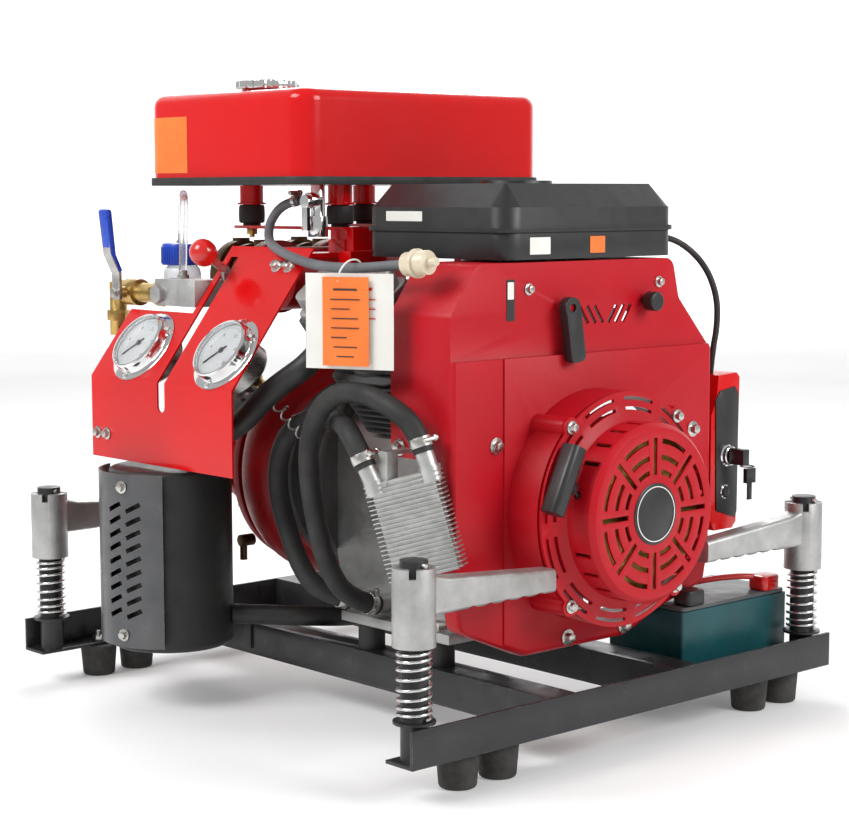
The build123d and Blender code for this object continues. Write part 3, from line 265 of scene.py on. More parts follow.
def edge_angle_group():
    """Geometry nodes that shade a mesh smooth except over its sharp edges."""
    group = bpy.data.node_groups.new("smooth_by_angle", "GeometryNodeTree")
    group.interface.new_socket("Geometry", in_out="INPUT", socket_type="NodeSocketGeometry")
    group.interface.new_socket("Geometry", in_out="OUTPUT", socket_type="NodeSocketGeometry")
    start = group.nodes.new("NodeGroupInput")
    faces = group.nodes.new("GeometryNodeSetShadeSmooth")
    faces.domain = "FACE"
    edges = group.nodes.new("GeometryNodeSetShadeSmooth")
    edges.domain = "EDGE"
    angle = group.nodes.new("GeometryNodeInputMeshEdgeAngle")
    below = group.nodes.new("FunctionNodeCompare")
    below.operation = "LESS_THAN"
    below.inputs["B"].default_value = SHARP_ANGLE
    end = group.nodes.new("NodeGroupOutput")
    links = group.links
    links.new(start.outputs[0], faces.inputs["Geometry"])
    links.new(faces.outputs["Geometry"], edges.inputs["Geometry"])
    links.new(angle.outputs["Unsigned Angle"], below.inputs["A"])
    links.new(below.outputs["Result"], edges.inputs["Shade Smooth"])
    links.new(edges.outputs["Geometry"], end.inputs[0])
    return group


SMOOTH = edge_angle_group()


def round_edges(obj, width):
    """Welds a mesh, rounds its sharp edges (not at all for a width of 0) and smooths the rest."""
    weld = obj.modifiers.new("weld", "WELD")
    weld.merge_threshold = WELD_REACH
    if width:
        bevel = obj.modifiers.new("bevel", "BEVEL")
        bevel.width = width * MM
        bevel.segments = 2
        bevel.limit_method = "ANGLE"
        bevel.angle_limit = SHARP_ANGLE
        bevel.miter_outer = "MITER_ARC"
    smooth = obj.modifiers.new("smooth", "NODES")
    smooth.node_group = SMOOTH


# each CAD node's material and the width of its rounded edges
NODE_LOOKS = {
    "base_frame": ("black_paint", 1.2), "rubber_feet": ("foot_rubber", 1.5),
    "rubber_mounts": ("rubber", 1.0), "crankcase": ("cast_aluminium", 2.5),
    "cylinders": ("grey_casting", 0.6), "crankshaft": ("machined_steel", 0.6),
    "main_bearings": ("machined_steel", 0.5), "flywheel_fan": ("grey_casting", 0.5),
    "pump_adapter": ("grey_casting", 1.5), "pump_casing": ("red_casting", 2.0),
    "impeller": ("bronze", 0.6), "outlet_valves": ("bronze", 1.5),
    "outlet_cap_left": ("bronze", 3.0), "outlet_cap_right": ("bronze", 3.0),
    "fan_shroud": ("red_satin", 3.5), "recoil_housing": ("red_satin", 1.0),
    "starter_reel": ("reel_brass", 0.5), "starter_handle": ("black_plastic", 4.0),
    "throttle_lever": ("black_plastic", 2.0), "choke_knob": ("black_plastic", 0.8),
    "air_cleaner_base": ("black_plastic", 2.0), "air_cleaner_cover": ("black_plastic", 2.0),
    "carburettor": ("cast_aluminium", 1.2), "muffler": ("muffler_black", 0),
    "muffler_guard": ("guard_steel", 0), "fuel_tank": ("red_paint", 0),
    "tank_bracket": ("red_paint", 0.8), "tank_cap": ("chrome", 1.6), "fuel_cock": ("chrome", 0.8),
    "fuel_cock_lever": ("chrome", 1.0), "fuel_filter": ("cream_plastic", 1.6),
    "gauge_panel": ("red_paint", 0), "needle_left": ("ink", 0), "needle_right": ("ink", 0),
    "primer_pump": ("cast_aluminium", 1.5), "priming_lever": ("machined_steel", 0.9),
    "ball_valve": ("brass", 1.0), "ball_valve_lever": ("machined_steel", 0.8),
    "oil_cooler": ("fin_aluminium", 0), "control_box": ("red_paint", 2.5),
    "ignition_key": ("black_plastic", 1.0), "protector_button": ("black_plastic", 0.8),
    "battery": ("teal_plastic", 2.0), "bolts": ("zinc_steel", 0.5),
}
for corner in CORNERS:
    NODE_LOOKS["handle_" + corner] = ("cast_aluminium", 3.0)

for node_name, (look, width) in NODE_LOOKS.items():
    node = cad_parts[node_name]
    node.data.materials.clear()
    node.data.materials.append(MATERIALS[look])
    if "custom_normal" in node.data.attributes:
        node.data.attributes.remove(node.data.attributes["custom_normal"])
    round_edges(node, width)


# ---------------------------------------------------------------- helpers for new pieces
def add_piece(name, data, material, body="root", slot=None, stands_for=(), bevel=None):
    """Links a mesh or curve as a named piece that rides on a body, smoothed if it has a bevel."""
    obj = bpy.data.objects.new(name, data)
    data.materials.append(MATERIALS[material])
    bpy.context.scene.collection.objects.link(obj)
    if bevel is not None:
        round_edges(obj, bevel)
    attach(obj, body)
    if stands_for:
        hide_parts(*stands_for)
    return obj


def make_mesh(name, points, faces):
    """A mesh from points in millimetres."""
    mesh = bpy.data.meshes.new(name)
    mesh.from_pydata([tuple(Vector(point) * MM) for point in points], [], faces)
    mesh.validate()
    return mesh


def square_axes(along):
    """Two unit vectors square to a direction."""
    along = Vector(along).normalized()
    helper = Z_WAY if abs(along.z) < 0.9 else X_WAY
    first = helper.cross(along).normalized()
    return first, along.cross(first)


def lathe(origin, along, profile, steps=64):
    """Points and faces of a body turned about an axis, from pairs (radius, distance along it)."""
    along = Vector(along).normalized()
    first, second = square_axes(along)
    points = []
    rings = []
    for radius, distance in profile:
        centre = Vector(origin) + along * distance
        if radius == 0:
            rings.append([len(points)])
            points.append(centre)
            continue
        rings.append(list(range(len(points), len(points) + steps)))
        for step in range(steps):
            turn = 2 * pi * step / steps
            points.append(centre + (first * cos(turn) + second * sin(turn)) * radius)
    faces = []
    for low, high in zip(rings, rings[1:]):
        for step in range(steps):
            after = (step + 1) % steps
            if len(low) == 1 and len(high) > 1:
                faces.append((low[0], high[after], high[step]))
            elif len(high) == 1 and len(low) > 1:
                faces.append((low[step], low[after], high[0]))
            elif len(low) > 1:
                faces.append((low[step], low[after], high[after], high[step]))
    return points, faces


def prism(outline, origin, x_way, y_way, depth):
    """Points and faces of an outline pushed out square to its plane."""
    x_way = Vector(x_way).normalized()
    y_way = Vector(y_way).normalized()
    out = x_way.cross(y_way)
    base = [Vector(origin) + x_way * x + y_way * y for x, y in outline]
    points = base + [point + out * depth for point in base]
    count = len(outline)
    faces = [tuple(reversed(range(count))), tuple(range(count, 2 * count))]
    for side in range(count):
        after = (side + 1) % count
        faces.append((side, after, count + after, count + side))
    return points, faces


def rounded_rect(width, height, radius, steps=6):
    """The outline of a rectangle about its centre, with round corners."""
    outline = []
    for centre_x, centre_y, start in ((1, 1, 0), (-1, 1, 90), (-1, -1, 180), (1, -1, 270)):
        for step in range(steps + 1):
            turn = radians(start + 90 * step / steps)
            outline.append((centre_x * (width / 2 - radius) + radius * cos(turn),
                            centre_y * (height / 2 - radius) + radius * sin(turn)))
    return outline


def joined(parts):
    """Several (points, faces) lists as one."""
    points, faces = [], []
    for part_points, part_faces in parts:
        faces += [tuple(index + len(points) for index in face) for face in part_faces]
        points += part_points
    return points, faces


def add_solid(name, shape, material, **extra):
    """A piece made from a (points, faces) pair."""
    return add_piece(name, make_mesh(name, *shape), material, **extra)


def add_turned(name, origin, along, profile, material, bevel=0, steps=64, **extra):
    """A turned piece."""
    return add_solid(name, lathe(origin, along, profile, steps), material, bevel=bevel, **extra)


def add_prism(name, outline, origin, x_way, y_way, depth, material, bevel=0, **extra):
    """A piece pushed out from an outline."""
    return add_solid(name, prism(outline, origin, x_way, y_way, depth), material, bevel=bevel,
                     **extra)


def add_tube(name, route, radius, material, body="root", **extra):
    """A round cord or pipe along a smooth NURBS line whose control points are the route."""
    curve = bpy.data.curves.new(name, "CURVE")
    curve.dimensions = "3D"
    spline = curve.splines.new("NURBS")
    spline.points.add(len(route) - 1)
    for point, place in zip(spline.points, route):
        point.co = (*(Vector(place) * MM), 1)
    spline.order_u = 3
    spline.use_endpoint_u = True
    spline.resolution_u = 12
    curve.bevel_depth = radius * MM
    curve.bevel_resolution = 6
    curve.use_fill_caps = True
    return add_piece(name, curve, material, body, **extra)


def add_text(name, words, size, origin, x_way, y_way, material):
    """Generic figures lying flat on a face."""
    curve = bpy.data.curves.new(name, "FONT")
    curve.body = words
    curve.size = size * MM
    curve.align_x = "CENTER"
    curve.align_y = "CENTER"
    curve.extrude = 0.05 * MM
    letter = bpy.data.objects.new(name + "_letters", curve)
    bpy.context.scene.collection.objects.link(letter)
    bpy.context.view_layer.update()
    flat = bpy.data.meshes.new_from_object(letter)
    bpy.data.objects.remove(letter)
    x_way = Vector(x_way).normalized()
    y_way = Vector(y_way).normalized()
    out = x_way.cross(y_way)
    for vertex in flat.vertices:
        spot = vertex.co.copy()
        vertex.co = Vector(origin) * MM + x_way * spot.x + y_way * spot.y + out * spot.z
    flat.materials.clear()
    return add_piece(name, flat, material)


# ---------------------------------------------------------------- cords and hoses
COOLER_CORNER = Vector((229, -292, 325))
COOLER_TURN = radians(30)
COOLER_ROLL = radians(16)
COOLER_OUT = Vector((sin(COOLER_TURN), -cos(COOLER_TURN), 0))
COOLER_LEVEL = Vector((cos(COOLER_TURN), sin(COOLER_TURN), 0))
COOLER_WIDE = COOLER_LEVEL * cos(COOLER_ROLL) + Z_WAY * sin(COOLER_ROLL)
# each port's place along the cooler's width, and its direction
COOLER_PORTS = {10: Vector((-0.45, -0.15, 0.88)).normalized(),
                80: Vector((-0.35, -0.1, 0.93)).normalized()}


def cooler_port(position, beyond=20):
    """A point on a cooler port's axis, at its end or beyond."""
    neck = COOLER_CORNER + COOLER_WIDE * position - COOLER_OUT * 10
    return tuple(neck + COOLER_PORTS[position] * beyond)


# each cord's radius, material, length and route, as in the CAD
CORDS = {
    "fuel_hose": (6, "grey_rubber", 428, [
        (-60, -150, 650), (-90, -152, 647), (-110, -160, 624), (-94, -176, 600), (-44, -204, 590),
        (22, -222, 578), (84, -236, 572), (140, -240, 571), (188, -238, 573), (232, -234, 577)]),
        "clear_tube": (5.5, "clear_plastic", 198, [
        (-232, -212, 553), (-231, -212, 590), (-236, -206, 630), (-250, -196, 655),
        (-272, -182, 660), (-292, -170, 641), (-300, -165, 604.3)]),
        "oil_hose_front": (12.5, "rubber", 523, [
        cooler_port(80), cooler_port(80, 48), (250, -258, 412), (210, -264, 427), (164, -263, 429),
        (120, -258, 414), (82, -251, 374), (68, -243, 318), (74, -236, 258), (82, -226, 204),
        (86, -196, 160), (84, -148, 146)]),
        "oil_hose_rear": (12.5, "rubber", 556, [
        cooler_port(10), cooler_port(10, 50), (184, -278, 388), (140, -245, 383), (92, -214, 385),
        (38, -205, 385), (-14, -204, 366), (-45, -202, 326), (-46, -201, 276), (-26, -200, 228),
        (-2, -198, 184), (20, -184, 156), (34, -148, 146)]),
        "harness_cable": (4, "rubber", 240, [
        (258, 163, 604), (262, 184, 604), (276, 210, 592), (294, 230, 564), (304, 240, 526),
        (302, 243, 488), (291, 247, 454), (278, 259, 423.5)]),
}
for cord_name, (radius, material, length, route) in CORDS.items():
    cord = add_tube(cord_name + "_line", route, radius, material, stands_for=(cord_name,))


CLAMP_INSET = 12


def hose_clamp(name, centre, along, radius, width):
    """A worm-drive band with its screw housing."""
    along = Vector(along).normalized()
    strip = [(radius, -width / 2), (radius + 0.9, -width / 2), (radius + 0.9, width / 2),
             (radius, width / 2), (radius, -width / 2)]
    side, up = square_axes(along)
    housing = prism(rounded_rect(11, width + 1, 2), Vector(centre) + up * (radius + 0.6), side,
                    along, 6)
    screw = lathe(Vector(centre) + up * (radius + 4) - side * 11, side, [
        (0, 0), (3.6, 0), (4, 0.6), (4, 4), (3, 4.4), (3, 20), (0, 20)], 20)
    parts = joined([lathe(centre, along, strip, 48), housing, screw])
    add_solid(name, parts, "zinc_steel", slot="zinc_steel", bevel=0.3)


def first_way(route):
    """The step from a route's first point to its second."""
    return Vector(route[1]) - Vector(route[0])


for cord_name in ("oil_hose_front", "oil_hose_rear"):
    route = CORDS[cord_name][3]
    leaving = first_way(route)
    hose_clamp(cord_name + "_clamp_cooler", Vector(route[0]) + leaving.normalized() * CLAMP_INSET,
               leaving, 12.8, 11)
    arriving = Vector(route[-1]) - Vector(route[-2])
    hose_clamp(cord_name + "_clamp_case", Vector(route[-1]) - arriving.normalized() * CLAMP_INSET,
               arriving, 12.8, 11)
route = CORDS["fuel_hose"][3]
leaving = first_way(route)
hose_clamp("fuel_hose_clamp", Vector(route[0]) + leaving * 0.3, leaving, 6.3, 6)


# ---------------------------------------------------------------- springs
POST_X = 370
POST_Y = 340
SPRING_LOW = 90.6
SPRING_HIGH = 169.4
SPRING_TURNS = 8.5
SPRING_RADIUS = 18.4
SPRING_WIRE = 1.9


def spring_mesh(name, centre_x, centre_y):
    """A smooth helical spring whose end turns lie closer."""
    steps = 360
    around = 12
    points, faces = [], []
    for step in range(steps + 1):
        share = step / steps
        eased = share - 0.045 * sin(2 * pi * share)
        turn = 2 * pi * SPRING_TURNS * share
        height = SPRING_LOW + 1 + (SPRING_HIGH - SPRING_LOW - 2) * eased
        outward = Vector((cos(turn), sin(turn), 0))
        middle = Vector((centre_x, centre_y, height)) + outward * SPRING_RADIUS
        for spot in range(around):
            angle = 2 * pi * spot / around
            points.append(middle + outward * SPRING_WIRE * cos(angle)
                          + Z_WAY * SPRING_WIRE * sin(angle))
    for step in range(steps):
        for spot in range(around):
            after = (spot + 1) % around
            low = step * around
            high = low + around
            faces.append((low + spot, low + after, high + after, high + spot))
    faces.append(tuple(reversed(range(around))))
    faces.append(tuple(range(steps * around, (steps + 1) * around)))
    return make_mesh(name, points, faces)


for corner, (side_x, side_y) in CORNERS.items():
    centre = (side_x * POST_X, side_y * POST_Y)
    spring = add_piece("coil_" + corner, spring_mesh("coil_" + corner, *centre), "spring_steel",
                       slot="spring_steel", stands_for=("spring_" + corner,), bevel=0)
    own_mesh(spring)

# ---------------------------------------------------------------- gauges
GAUGE_CENTRES = {"left": Vector((-226, -279.5, 460)), "right": Vector((-46, -279.5, 460))}
SLOPE = Vector((0, 130, 170.7)).normalized()
SLOPE_OUT = Vector((0, -SLOPE.z, SLOPE.y))


def sloped_way(turn):
    """A direction in the panel's slope, turned from +X."""
    return X_WAY * cos(turn) + SLOPE * sin(turn)


def add_gauge(side, origin):
    """A flanged chrome pressure gauge with a white dial behind glass."""
    parts = [lathe(origin, SLOPE_OUT, [
        (36.5, 0.1), (51, 0.1), (52.2, 0.5), (52.2, 1.4), (51.2, 1.9), (44.6, 2.0), (43.4, 2.4),
        (42.6, 4), (42.6, 12.5), (42, 15.2), (40.5, 16.7), (38.8, 17), (37.9, 16.2), (37.7, 14.2),
        (38, 7.8), (36.5, 7.6), (36.5, 0.1)])]
    for turn in (30, 150, 270):
        spot = origin + sloped_way(radians(turn)) * 47.8
        parts.append(lathe(spot, SLOPE_OUT, [(0, 1.9), (3.4, 1.9), (3.4, 3), (2.4, 4.2), (0, 4.5)],
                           20))
    # the bezel's clamp screw
    spot = origin + X_WAY * 32.5 + SLOPE * 29.5 + SLOPE_OUT * 8
    parts.append(lathe(spot, X_WAY - SLOPE, [(0, -6), (2.6, -6), (2.6, 6), (0, 6)], 16))
    add_solid("gauge_" + side, joined(parts), "chrome", slot="chrome", bevel=0,
              stands_for=("gauges",) if side == "left" else ())
    add_turned("gauge_body_" + side, origin, -SLOPE_OUT, [
        (0, 0.1), (36.3, 0.1), (36.3, 34), (34, 37.5), (12, 38), (11, 39), (11, 44), (8, 45),
        (8, 60), (6.5, 62), (0, 62)], "machined_steel", slot="chrome")
    add_turned("dial_" + side, origin, SLOPE_OUT, [
        (0, 8.1), (37.4, 8.1), (37.6, 8.6), (4, 8.65), (0, 8.65)], "dial", slot="chrome")
    marks = []
    for mark in range(46):
        turn = radians(225 - 270 * mark / 45)
        way = sloped_way(turn)
        across = -X_WAY * sin(turn) + SLOPE * cos(turn)
        long = 4.5 if mark % 9 == 0 else 2.2
        marks.append(prism([(-0.3, -long), (0.3, -long), (0.3, 0), (-0.3, 0)],
                           origin + way * 34.3 + SLOPE_OUT * 8.64, across, way, 0.08))
    add_solid("dial_marks_" + side, joined(marks), "ink")
    for mark in range(6):
        turn = radians(225 - 54 * mark)
        spot = origin + sloped_way(turn) * 24.5 + SLOPE_OUT * 8.7
        add_text("dial_figure_%s_%d" % (side, mark), str(4 * mark), 6.5, spot, X_WAY, SLOPE, "ink")
    add_turned("gauge_glass_" + side, origin, SLOPE_OUT, [
        (0, 13.2), (32, 13.1), (37.6, 13), (37.6, 14.8), (32, 15.4), (0, 15.8)], "glass",
        slot="chrome")


for side, origin in GAUGE_CENTRES.items():
    add_gauge(side, origin)
add_turned("gauge_union", GAUGE_CENTRES["right"] - SLOPE_OUT * 48, -SLOPE_OUT, [
    (0, 0), (9.5, 0), (10, 0.8), (10, 11), (9, 12), (7, 12), (7, 20), (3.5, 21), (0, 21)], "brass",
    steps=6, bevel=0.5, slot="brass")


def capillary():
    """The route of a fine steel tube from the right gauge, wound in an open coil."""
    begin = GAUGE_CENTRES["right"] - SLOPE_OUT * 68
    finish = Vector((36, -214, 352))
    along = (finish - begin).normalized()
    first, second = square_axes(along)
    route = [begin]
    turns = 5
    for step in range(turns * 8 + 1):
        share = step / (turns * 8)
        angle = 2 * pi * share * turns
        middle = begin.lerp(finish, 0.12 + 0.76 * share)
        route.append(middle + (first * cos(angle) + second * sin(angle)) * 8)
    route.append(finish)
    return route


add_tube("gauge_capillary", capillary(), 1.3, "machined_steel", slot="machined_steel")

# ---------------------------------------------------------------- priming gear and drain valve
add_turned("lever_knob", (-146, -225.5, 573.1), (0, -0.826, 0.563), [
    (0, 0), (6.8, 0), (8, 0.8), (10.4, 3), (13.6, 6), (16, 10), (17.4, 14.6), (17.6, 19.2),
    (17, 23.8), (14.8, 28.8), (11, 33), (6.3, 35.6), (0, 36.6)], "red_plastic", body="primer",
    slot="red_paint")
BOTTLE = (-300, -165)
CAP_FOOT = (*BOTTLE, 562.4)
add_turned("filler_bottle", (*BOTTLE, 515.3), Z_WAY, [
    (0, 0.2), (21.5, 0.2), (24.6, 1.8), (25.3, 4.5), (25.3, 12), (24.6, 13), (25.3, 14), (25.3, 34),
    (24.2, 41), (20.5, 45.5), (20.2, 50), (0, 50)], "bottle_plastic", slot="clear_plastic",
    stands_for=("oil_bottle",))
cap_profile = [(0, 0), (27.2, 0), (28.2, 1), (28.2, 24.5), (27, 28.4), (23, 30), (0, 30.4)]
ribs = []
for rib in range(44):
    turn = 2 * pi * rib / 44
    way = Vector((cos(turn), sin(turn), 0))
    ribs.append(prism([(-0.7, 2), (0.7, 2), (0.7, 24), (-0.7, 24)], Vector(CAP_FOOT) + way * 27.8,
                      Vector((-sin(turn), cos(turn), 0)), Z_WAY, 1.1))
cap_parts = joined([lathe(CAP_FOOT, Z_WAY, cap_profile), *ribs])
add_solid("bottle_cap", cap_parts, "blue_plastic", slot="blue_plastic", bevel=0)
add_turned("bottle_nipple", (*BOTTLE, 592.4), Z_WAY, [
    (0, 0), (8, 0), (8, 3), (5.2, 4), (6.4, 6), (5.2, 8), (6.2, 10), (4.6, 12), (0, 12)],
    "zinc_steel")
add_turned("block_nipple", (-232, -212, 547), Z_WAY, [
    (0, 0), (8, 0), (8, 5), (5.4, 6), (6, 8), (5.2, 11), (0, 11)], "zinc_steel")
SLEEVE = [(-247.6, 556), (-252.2, 553.4), (-259, 567), (-265.8, 579), (-272.6, 635), (-271, 638),
          (-266, 638.6), (-263.4, 636), (-257.6, 578)]
add_prism("valve_grip", SLEEVE, (-341, 0, 0), Y_WAY, Z_WAY, 20, "blue_plastic", body="valve_lever",
          bevel=1.6, slot="blue_plastic")

# ---------------------------------------------------------------- tank details
TANK_LOW = (-334, -198)
TANK_HIGH = (6, 222)
TANK_CORNER = 30


def tank_outline(grow):
    """The tank's plan, grown outwards, about its centre."""
    return rounded_rect(TANK_HIGH[0] - TANK_LOW[0] + 2 * grow,
                        TANK_HIGH[1] - TANK_LOW[1] + 2 * grow, TANK_CORNER + grow, 10)


def band(outer, inner, centre, low, high):
    """A closed band between two outlines with the same number of points."""
    count = len(outer)
    points = []
    for outline, height in ((outer, low), (outer, high), (inner, high), (inner, low)):
        points += [(centre[0] + x, centre[1] + y, height) for x, y in outline]
    faces = []
    for ring in range(4):
        for step in range(count):
            after = (step + 1) % count
            low_ring = ring * count
            high_ring = (ring + 1) % 4 * count
            faces.append((low_ring + step, low_ring + after, high_ring + after, high_ring + step))
    return points, faces


TANK_CENTRE = ((TANK_LOW[0] + TANK_HIGH[0]) / 2, (TANK_LOW[1] + TANK_HIGH[1]) / 2)
add_solid("tank_seal", band(tank_outline(5.2), tank_outline(3.6), TANK_CENTRE, 669.4, 680),
          "rubber", slot="rubber", bevel=0.5)


def corner_sheet(x_end, y_end, low, high, off):
    """A thin sheet that wraps the tank's left front corner, a little off its faces."""
    path = [(TANK_LOW[0] - off, y_end)]
    for step in range(9):
        turn = radians(180 + 90 * step / 8)
        path.append((TANK_LOW[0] + TANK_CORNER + (TANK_CORNER + off) * cos(turn),
                     TANK_LOW[1] + TANK_CORNER + (TANK_CORNER + off) * sin(turn)))
    path.append((x_end, TANK_LOW[1] - off))
    inner = [(x + 0.25 if y > TANK_LOW[1] + TANK_CORNER else x, y + 0.25) for x, y in path]
    outline = path + inner[::-1]
    return prism(outline, (0, 0, low), X_WAY, Y_WAY, high - low)


add_solid("tank_label", corner_sheet(-238, -150, 686, 760, 0.4), "orange_card")

# ---------------------------------------------------------------- tags
TAG_TURN = radians(25)
TAG_WAY = Vector((cos(TAG_TURN), sin(TAG_TURN), 0))
TAG_OUT = Vector((sin(TAG_TURN), -cos(TAG_TURN), 0))
TAG_FRONT = Vector((182, -276, 511.5)) + TAG_OUT * 1.2
TAG_BACK = Vector((182, -271, 511.5))


def add_card(name, centre, width, height, material, thick, stands_for=()):
    """A gently bowed card."""
    columns, rows = 10, 12
    points, faces = [], []
    for face in (0, 1):
        for row in range(rows + 1):
            for column in range(columns + 1):
                across = width * (column / columns - 0.5)
                up = height * (row / rows - 0.5)
                bow = 1.2 * cos(pi * column / columns - pi / 2) + 1.5 * (row / rows - 0.5) ** 2
                out = TAG_OUT * (bow + face * thick)
                points.append(centre + TAG_WAY * across + Z_WAY * up + out)
    size = (columns + 1) * (rows + 1)
    for row in range(rows):
        for column in range(columns):
            first = row * (columns + 1) + column
            quad = (first, first + 1, first + columns + 2, first + columns + 1)
            faces.append(tuple(reversed(quad)))
            faces.append(tuple(index + size for index in quad))
    rim = list(range(columns + 1))
    rim += [row * (columns + 1) + columns for row in range(1, rows + 1)]
    rim += [rows * (columns + 1) + column for column in reversed(range(columns))]
    rim += [row * (columns + 1) for row in reversed(range(1, rows))]
    for here, after in zip(rim, rim[1:] + rim[:1]):
        faces.append((here, after, after + size, here + size))
    add_solid(name, (points, faces), material, body="tags", slot="card", bevel=0,
              stands_for=stands_for)


add_card("tag_orange", TAG_FRONT, 59, 103, "orange_card", 0.5, stands_for=("hang_tags",))
add_card("tag_white", TAG_BACK, 112, 111, "white_card", 0.4)


def printed_bars(name, centre, rows, material):
    """Plain bars that stand for printed lines on a card, from (width, height, shift) rows."""
    bars = []
    for row, (width, height, shift) in enumerate(rows):
        up = 36 - 11 * row
        left = -width / 2 + shift
        right = width / 2 + shift
        outline = [(left, up), (right, up), (right, up + height), (left, up + height)]
        bars.append(prism(outline, centre + TAG_OUT * 2.4, TAG_WAY, Z_WAY, 0.12))
    add_solid(name, joined(bars), material, body="tags")


printed_bars("tag_orange_print", TAG_FRONT, [
    (30, 2.2, 0), (38, 1.2, 0), (24, 1.2, -6), (34, 1.2, 0), (36, 1.2, 0), (20, 1.2, -8),
    (30, 1.2, 0), (22, 1.2, 0)], "ink")
printed_bars("tag_white_print", TAG_BACK, [
    (60, 3.2, 0), (12, 1.4, 28), (12, 1.4, 28), (12, 1.4, 28)], "red_plastic")
add_tube("tag_strap", [
    TAG_FRONT + Z_WAY * 46 - TAG_WAY * 9 + TAG_OUT * 1.6, (168, -276, 566), (162, -262, 577),
    (158, -248, 582), (158, -236, 581), (158, -230, 572), (158, -238, 562), (162, -256, 562),
    (168, -272, 560)], 1.1, "white_card", "tags", slot="card")

# ---------------------------------------------------------------- recoil starter face
CRANK_Z = 284
BADGE_BACK = (413.6, 0, CRANK_Z)
add_turned("starter_badge", BADGE_BACK, X_WAY, [
    (0, 0.2), (35, 0.2), (36.6, 0.5), (36.6, 1.2), (35.4, 1.9), (0, 2.1)], "black_plastic",
    slot="black_plastic", steps=96)
add_turned("starter_badge_ring", BADGE_BACK, X_WAY, [
    (31.8, 2.1), (33, 2.1), (33, 2.4), (31.8, 2.4), (31.8, 2.1)], "white_card", steps=96)

# ---------------------------------------------------------------- shroud details
add_prism("shroud_label", rounded_rect(13, 48, 1.5), (303.2, -129.5, 535), Y_WAY, Z_WAY, 0.5, "ink")
add_prism("shroud_label_panel", rounded_rect(10, 20, 1), (303.7, -129.5, 546), Y_WAY, Z_WAY, 0.15,
          "white_card")

# ---------------------------------------------------------------- control panel, key and battery
PANEL_FACE = [(246, 248), (284, 236), (288, 244), (289, 398), (282, 408), (252, 404), (243, 392)]
add_prism("control_face", PANEL_FACE, (299.6, 0, 0), Y_WAY, Z_WAY, 2.4, "black_plastic", bevel=0.8,
          slot="black_plastic")
add_turned("key_bezel", (302, 266, 319), X_WAY, [
    (4, 0), (14, 0), (14, 1.5), (12.4, 3), (12.4, 7.5), (11.2, 8.4), (4, 8.4), (4, 0)], "chrome")
add_turned("button_collar", (302, 262, 272), X_WAY, [
    (6.4, 0), (9, 0), (9, 1.2), (8, 2), (6.4, 2), (6.4, 0)], "chrome")

add_prism("battery_lid", rounded_rect(123, 204, 6), (277, 242, 134.2), X_WAY, Y_WAY, 5.4,
          "grey_plastic", bevel=1.2, slot="teal_plastic")
for spot_y, look in ((166, "black_plastic"), (316, "red_plastic")):
    add_prism("terminal_boot_%d" % spot_y, rounded_rect(30, 34, 8), (326, spot_y, 139.6), X_WAY,
              Y_WAY, 20, look, bevel=3, slot="black_plastic")
add_tube("battery_lead_red", [
    (326, 316, 154), (318, 300, 158), (300, 268, 158), (282, 240, 154), (262, 226, 148),
    (246, 212, 152), (240, 204, 172)], 4, "red_plastic", slot="red_paint")
add_tube("battery_lead_black", [
    (326, 166, 154), (312, 160, 160), (286, 158, 166), (262, 168, 174), (246, 182, 180)],
    4, "black_plastic", slot="black_plastic")

# ---------------------------------------------------------------- valve covers, tank feet, labels
BANK_LEAN = radians(38)
# width, height, distance from the crank axis, and depth
COVER_STEPS = ((139, 81, 309.6, 8), (128.8, 70.8, 317.6, 23), (104, 46, 340.5, 3))
for bank_name, lean_side, bank_x in (("left", -1, 95), ("right", 1, 75)):
    bank_up = Vector((0, lean_side * sin(BANK_LEAN), cos(BANK_LEAN)))
    cover_y = bank_up.cross(X_WAY)
    parts = []
    for width, height, low, depth in COVER_STEPS:
        origin = Vector((bank_x, 0, CRANK_Z)) + bank_up * low
        parts.append(prism(rounded_rect(width, height, 14), origin, X_WAY, cover_y, depth))
    add_solid("valve_cover_" + bank_name, joined(parts), "cast_aluminium", slot="cast_aluminium",
              bevel=2.2)
for foot, (foot_x, foot_y) in enumerate(((-228, -100), (-40, -100), (-228, 100), (-40, 100))):
    add_turned("tank_foot_cup_%d" % foot, (foot_x, foot_y, 644), Z_WAY, [
        (12.4, 0), (19, 0), (19.6, 1), (19.6, 2.4), (16, 3), (16, 25.6), (12.4, 25.6), (12.4, 0)],
        "red_paint", slot="red_paint")
    add_turned("tank_foot_rubber_%d" % foot, (foot_x, foot_y, 619), Z_WAY, [
        (12.4, 0), (15, 0), (17.4, 2), (17.8, 12), (17.4, 22), (16, 24.6), (12.4, 24.6), (12.4, 0)],
        "rubber", slot="rubber")
for nut_y in (-100, 100):
    add_turned("tank_foot_nut_%d" % nut_y, (-228, nut_y, 600), Z_WAY, [
        (0, 0), (4, 0), (4, 4), (8, 4), (8, 11.8), (0, 11.8)], "brass", steps=6, bevel=0.4,
        slot="zinc_steel")
add_prism("cleaner_label_left", rounded_rect(66, 12, 1), (124, -135.1, 631), X_WAY, Z_WAY, 0.4,
          "white_card")
add_prism("cleaner_label_plate", rounded_rect(34, 20, 1), (300.1, -78, 597), Y_WAY, Z_WAY, 0.5,
          "white_card")
add_prism("cleaner_label_orange", rounded_rect(26, 20, 1), (300.1, 20, 597), Y_WAY, Z_WAY, 0.5,
          "orange_card")


# ---------------------------------------------------------------- stage and light
def add_stage_sheet(name, corners, material):
    """A four-cornered sheet of the stage."""
    mesh = bpy.data.meshes.new(name)
    mesh.from_pydata(corners, [], [(0, 1, 2, 3)])
    sheet = bpy.data.objects.new(name, mesh)
    bpy.context.scene.collection.objects.link(sheet)
    mesh.materials.append(material)


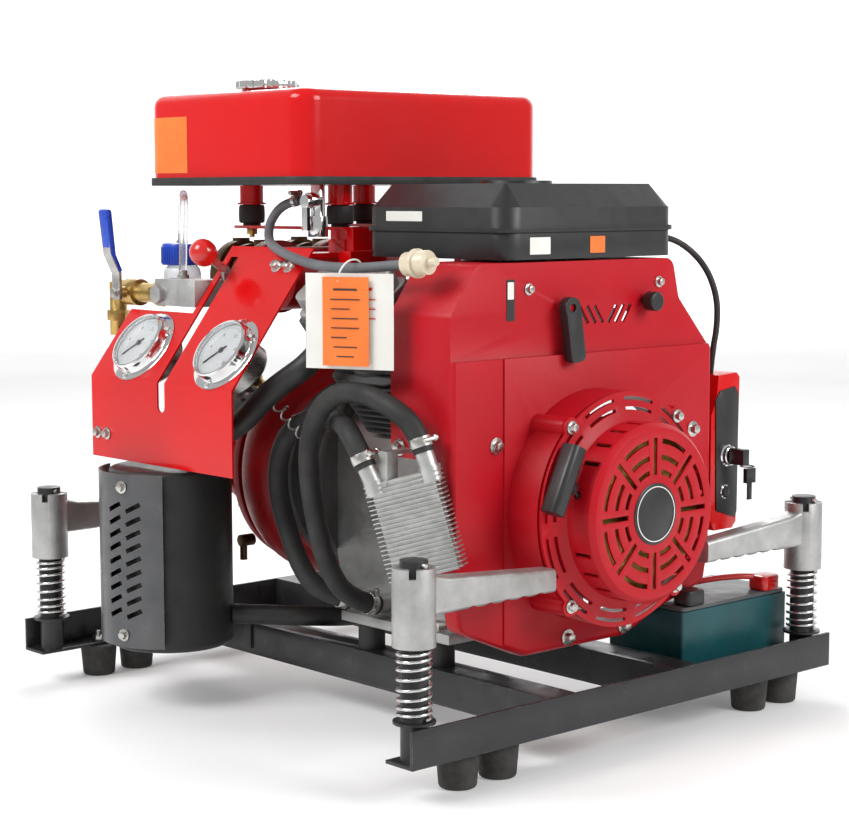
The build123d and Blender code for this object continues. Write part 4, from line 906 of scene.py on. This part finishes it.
def pale_material(name, roughness, glow):
    """A matt pale grey that glows a little, and its nodes, links and main shader."""
    material, nodes, links, shader = start_material(name)
    shader.inputs["Base Color"].default_value = (0.8, 0.8, 0.8, 1)
    shader.inputs["Roughness"].default_value = roughness
    shader.inputs["Emission Color"].default_value = (1, 1, 1, 1)
    shader.inputs["Emission Strength"].default_value = glow
    return material, nodes, links, shader


def add_floor():
    """A pale, faintly mottled floor."""
    material, nodes, links, shader = pale_material("floor", 0.7, 0.12)
    place = nodes.new("ShaderNodeTexCoord")
    mottle = noise(nodes, links, place.outputs["Object"], 2, 0, 1)
    links.new(mix(nodes, links, mottle, (0.84, 0.84, 0.84), (0.8, 0.8, 0.8)),
              shader.inputs["Base Color"])
    corners = [(-9, -9, 0), (9, -9, 0), (9, 9, 0), (-9, 9, 0)]
    add_stage_sheet("floor", corners, material)


def add_backdrop():
    """A bright wall far behind the object."""
    away = Vector((-0.743, 0.669, 0)) * 6
    across = Vector((0.669, 0.743, 0)) * 9
    low = Z_WAY * -0.1
    high = Z_WAY * 7
    left = away - across
    right = away + across
    corners = [tuple(corner) for corner in (left + low, right + low, right + high, left + high)]
    add_stage_sheet("backdrop", corners, pale_material("backdrop", 0.9, 0.75)[0])


def add_light(name, place, aim, size, power):
    """A rectangular soft box that points at a spot."""
    data = bpy.data.lights.new(name, "AREA")
    data.shape = "RECTANGLE"
    data.size, data.size_y = size
    data.energy = power
    lamp = bpy.data.objects.new(name, data)
    lamp.location = place
    lamp.rotation_mode = "QUATERNION"
    lamp.rotation_quaternion = (Vector(aim) - Vector(place)).to_track_quat("-Z", "Y")
    bpy.context.scene.collection.objects.link(lamp)


add_floor()
add_backdrop()
add_light("key_light", (-0.6, -2.6, 2.6), (0, 0, 0.4), (1.8, 1.4), 85)
add_light("side_light", (3.0, 0.9, 2.0), (0, 0, 0.35), (1.6, 1.6), 70)
add_light("back_light", (-2.2, 1.8, 2.4), (0, 0, 0.5), (1.6, 1.2), 40)
world = bpy.data.worlds.new("studio")
world.use_nodes = True
background = world.node_tree.nodes["Background"]
background.inputs["Color"].default_value = (1, 1, 1, 1)
background.inputs["Strength"].default_value = 0.5
bpy.context.scene.world = world
bpy.context.scene.view_settings.view_transform = "Standard"
